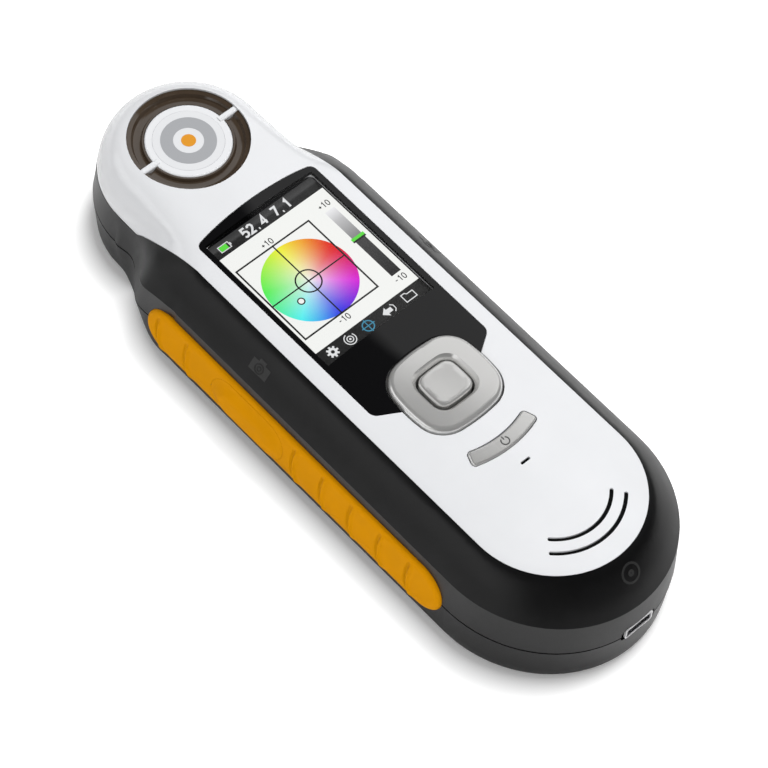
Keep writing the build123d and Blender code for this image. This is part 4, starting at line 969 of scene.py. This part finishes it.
def build_grip(side, name, node):
    """Ribbed grip with a hole for the measure button."""
    hole_ends, hole_r = (CAP_ENDS[0] - SEAM, CAP_ENDS[1] + SEAM), CAP_R + SEAM
    tight = [(GRIP_ENDS[0], 1, GRIP_R), (GRIP_ENDS[1], -1, GRIP_R),
             (hole_ends[0], 1, hole_r), (hole_ends[1], -1, hole_r)]
    stations = spaced(GRIP_ENDS[0], GRIP_ENDS[1], GRIP_STEP, tight)
    parts = []
    for which in (LOW, HIGH):
        edges = [edge_of(GRIP_ENDS, GRIP_R, which), edge_of(hole_ends, hole_r, which)]
        if which == HIGH:
            edges.reverse()
        parts.append(strip_piece(stations, *edges, GRIP_ROWS, grip_height, side))
    loops = [(outline_loop(GRIP_ENDS, GRIP_R), grip_height, False),
             (outline_loop(hole_ends, hole_r), grip_height, True)]
    soft_piece(name, node, "housing", walled(parts, side, GRIP_DEEP, loops))


def build_cap(side, name, node):
    """Domed measure button."""
    tight = [(CAP_ENDS[0], 1, CAP_R), (CAP_ENDS[1], -1, CAP_R)]
    stations = spaced(CAP_ENDS[0], CAP_ENDS[1], CAP_STEP, tight)
    edges = [edge_of(CAP_ENDS, CAP_R, which) for which in (LOW, HIGH)]
    part = strip_piece(stations, *edges, CAP_ROWS, cap_height, side)
    loops = [(outline_loop(CAP_ENDS, CAP_R), cap_height, False)]
    soft_piece(name, node, node, walled([part], side, CAP_DEEP, loops))


for hand, side in (("right", 1), ("left", -1)):
    build_grip(side, "grip_skin_" + hand, "grip_" + hand)
    build_cap(side, "measure_skin_" + hand, "measure_button_" + hand)


# --- stage ------------------------------------------------------------------------
FOOTPRINT = ((0.0, 90.0, 29.0), (117.8, 117.8, 21.5))    # body and head: ends and radius, mm; the floor's shadow is painted round them
GLOW, PAINTED_SHADOW_DEPTH = 0.68, 0.60              # even light of the floor, and how much of it is taken away next to the body as painted shadow
PAINTED_SHADOW_REACH, PAINTED_SHADOW_CURVE = 11.0, 2.6        # the painted shadow is gone after so many mm, in a curve of this power
FLOOR_HALF = 3.0


def floor_with_painted_shadow():
    """Floor with an even light of its own for the camera, dimmed within about a centimetre of the body
    as a painted shadow.
    """
    t = Tree("floor_paper_painted_shadow")
    x, y, _ = t.xyz()
    gaps = []
    for low, high, radius in FOOTPRINT:
        beside = t.math("MINIMUM", t.math("MAXIMUM", y, along(low)), along(high))
        rest = t.math("SUBTRACT", y, beside)
        away = t.math("SQRT", t.math("ADD", t.math("MULTIPLY", x, x), t.math("MULTIPLY", rest, rest)))
        gaps.append(t.math("SUBTRACT", away, radius * MM))
    # painted shadow: the floor's light is lowered near the body's outline, for camera rays only
    painted_shadow_share = t.ramp(t.math("MINIMUM", *gaps), 0.0, PAINTED_SHADOW_REACH * MM, 1.0, 0.0)
    glow_with_painted_shadow = t.math("SUBTRACT", GLOW, t.math("MULTIPLY", t.math("POWER", painted_shadow_share, PAINTED_SHADOW_CURVE), PAINTED_SHADOW_DEPTH))
    seen = t.nodes.new("ShaderNodeLightPath").outputs["Is Camera Ray"]
    grain = t.noise(1.2)
    t.set(Base_Color=t.mix(grain, (0.965, 0.965, 0.965), (0.975, 0.975, 0.975)), Roughness=0.8,
          Specular_IOR_Level=0.1, Emission_Color=(1.0, 1.0, 1.0),
          Emission_Strength=t.math("MULTIPLY", glow_with_painted_shadow, seen), Normal=t.bump(grain, 0.01))
    return t.mat


corners = [(x * FLOOR_HALF, y * FLOOR_HALF, 0) for x, y in ((-1, -1), (1, -1), (1, 1), (-1, 1))]
add_mesh("floor", corners, [(0, 1, 2, 3)], floor_with_painted_shadow())


# --- lighting ---------------------------------------------------------------------
LAMPS = (                 # place, side of the square, power
    ((0.55, 0.05, 1.35), 0.6, 12.0),
    ((-0.95, -0.55, 0.75), 0.5, 3.0),
)
DOME = 0.40               # even white tent that lights everything
REFLECTED = 0.04          # what polished faces see where there is no panel
PANELS = (                # direction, half width, half height, edge softness, brightness
    ((-0.913, 0.347, 0.36), 1.00, 0.30, 0.25, 1.25),
    ((0.92, 0.42, 0.80), 0.56, 0.43, 0.05, 0.62),
)


def light_box(place, size, power):
    """Square lamp that faces the part and isn't mirrored in it."""
    data = bpy.data.lights.new("light_box", "AREA")
    data.shape = "RECTANGLE"
    data.size, data.size_y = size, size
    data.energy = power
    obj = bpy.data.objects.new("light_box", data)
    bpy.context.scene.collection.objects.link(obj)
    obj.location = place
    obj.rotation_mode = "QUATERNION"
    obj.rotation_quaternion = (-Vector(place)).to_track_quat("-Z", "Y")
    obj.visible_glossy = False


def surround():
    """World that scatters as an even tent and mirrors as dark with a few bright panels."""
    world = bpy.data.worlds.new("studio")
    bpy.context.scene.world = world
    world.use_nodes = True
    nodes, links = world.node_tree.nodes, world.node_tree.links
    ray = nodes.new("ShaderNodeTexCoord").outputs["Generated"]

    def calc(operation, a, b, clamp=False):
        node = nodes.new("ShaderNodeMath")
        node.operation = operation
        node.use_clamp = clamp
        for socket, value in zip(node.inputs, (a, b)):
            if isinstance(value, bpy.types.NodeSocket):
                links.new(value, socket)
            else:
                socket.default_value = value
        return node.outputs[0]

    def dot(vector):
        node = nodes.new("ShaderNodeVectorMath")
        node.operation = "DOT_PRODUCT"
        links.new(ray, node.inputs[0])
        node.inputs[1].default_value = vector
        return node.outputs["Value"]

    seen = REFLECTED
    for direction, half_w, half_h, soft, bright in PANELS:
        axis = Vector(direction).normalized()
        across = axis.cross(Vector((0, 0, 1))).normalized()
        rise = across.cross(axis)
        depth = dot(axis)
        ahead = calc("MAXIMUM", depth, 0.01)
        share = calc("GREATER_THAN", depth, 0.05)
        for vector, half in ((across, half_w), (rise, half_h)):
            off = calc("ABSOLUTE", calc("DIVIDE", dot(vector), ahead), 0.0)
            inside = calc("DIVIDE", calc("SUBTRACT", half, off), soft, clamp=True)
            share = calc("MULTIPLY", share, inside)
        seen = calc("MAXIMUM", calc("MULTIPLY", share, bright), seen)
    glossy = nodes.new("ShaderNodeLightPath").outputs["Is Glossy Ray"]
    tent = calc("MULTIPLY", calc("SUBTRACT", 1.0, glossy), DOME)
    level = calc("ADD", calc("MULTIPLY", seen, glossy), tent)
    links.new(level, nodes["Background"].inputs["Strength"])
    nodes["Background"].inputs["Color"].default_value = (1, 1, 1, 1)


for place, size, power in LAMPS:
    light_box(place, size, power)
surround()
bpy.context.scene.view_settings.view_transform = "Standard"


# --- camera -----------------------------------------------------------------------
CAMERA_RIGHT = (0.73406, -0.67562, 0.06846)
CAMERA_UP = (0.54970, 0.65037, 0.52426)
CAMERA_BACK = (-0.39873, -0.34721, 0.84880)
CAMERA_PLACE = (-0.302211, COVER_LOW_Y - 0.1915376, 0.654517)
LENS, SENSOR = 159.13, 36.0

camera_data = bpy.data.cameras.new("camera")
camera = bpy.data.objects.new("camera", camera_data)
bpy.context.scene.collection.objects.link(camera)
bpy.context.scene.camera = camera
camera_data.sensor_width = SENSOR
camera_data.lens = LENS
camera_data.clip_start = 0.05
camera_data.clip_end = 20.0
turned = Matrix([Vector(way) for way in (CAMERA_RIGHT, CAMERA_UP, CAMERA_BACK)]).transposed().to_4x4()
camera.matrix_world = Matrix.Translation(CAMERA_PLACE) @ turned


# --- CAD surfaces -----------------------------------------------------------------
WELD_GAP = 2e-6
ROUNDED_BELOW = 32.0      # degrees between faces that still shade as one surface
SHELL_ROUNDED_BELOW = 14.0                # less on the upper shell, which keeps its tail crease crisp


def smooth(obj, angle):
    """Weld the seams between faces and round the shading below an angle."""
    weld = obj.modifiers.new("weld", "WELD")
    weld.merge_threshold = WELD_GAP
    split = obj.modifiers.new("split", "EDGE_SPLIT")
    split.split_angle = math.radians(angle)
    split.use_edge_sharp = False


for node, obj in NODES.items():
    smooth(obj, SHELL_ROUNDED_BELOW if node == "upper_shell" else ROUNDED_BELOW)
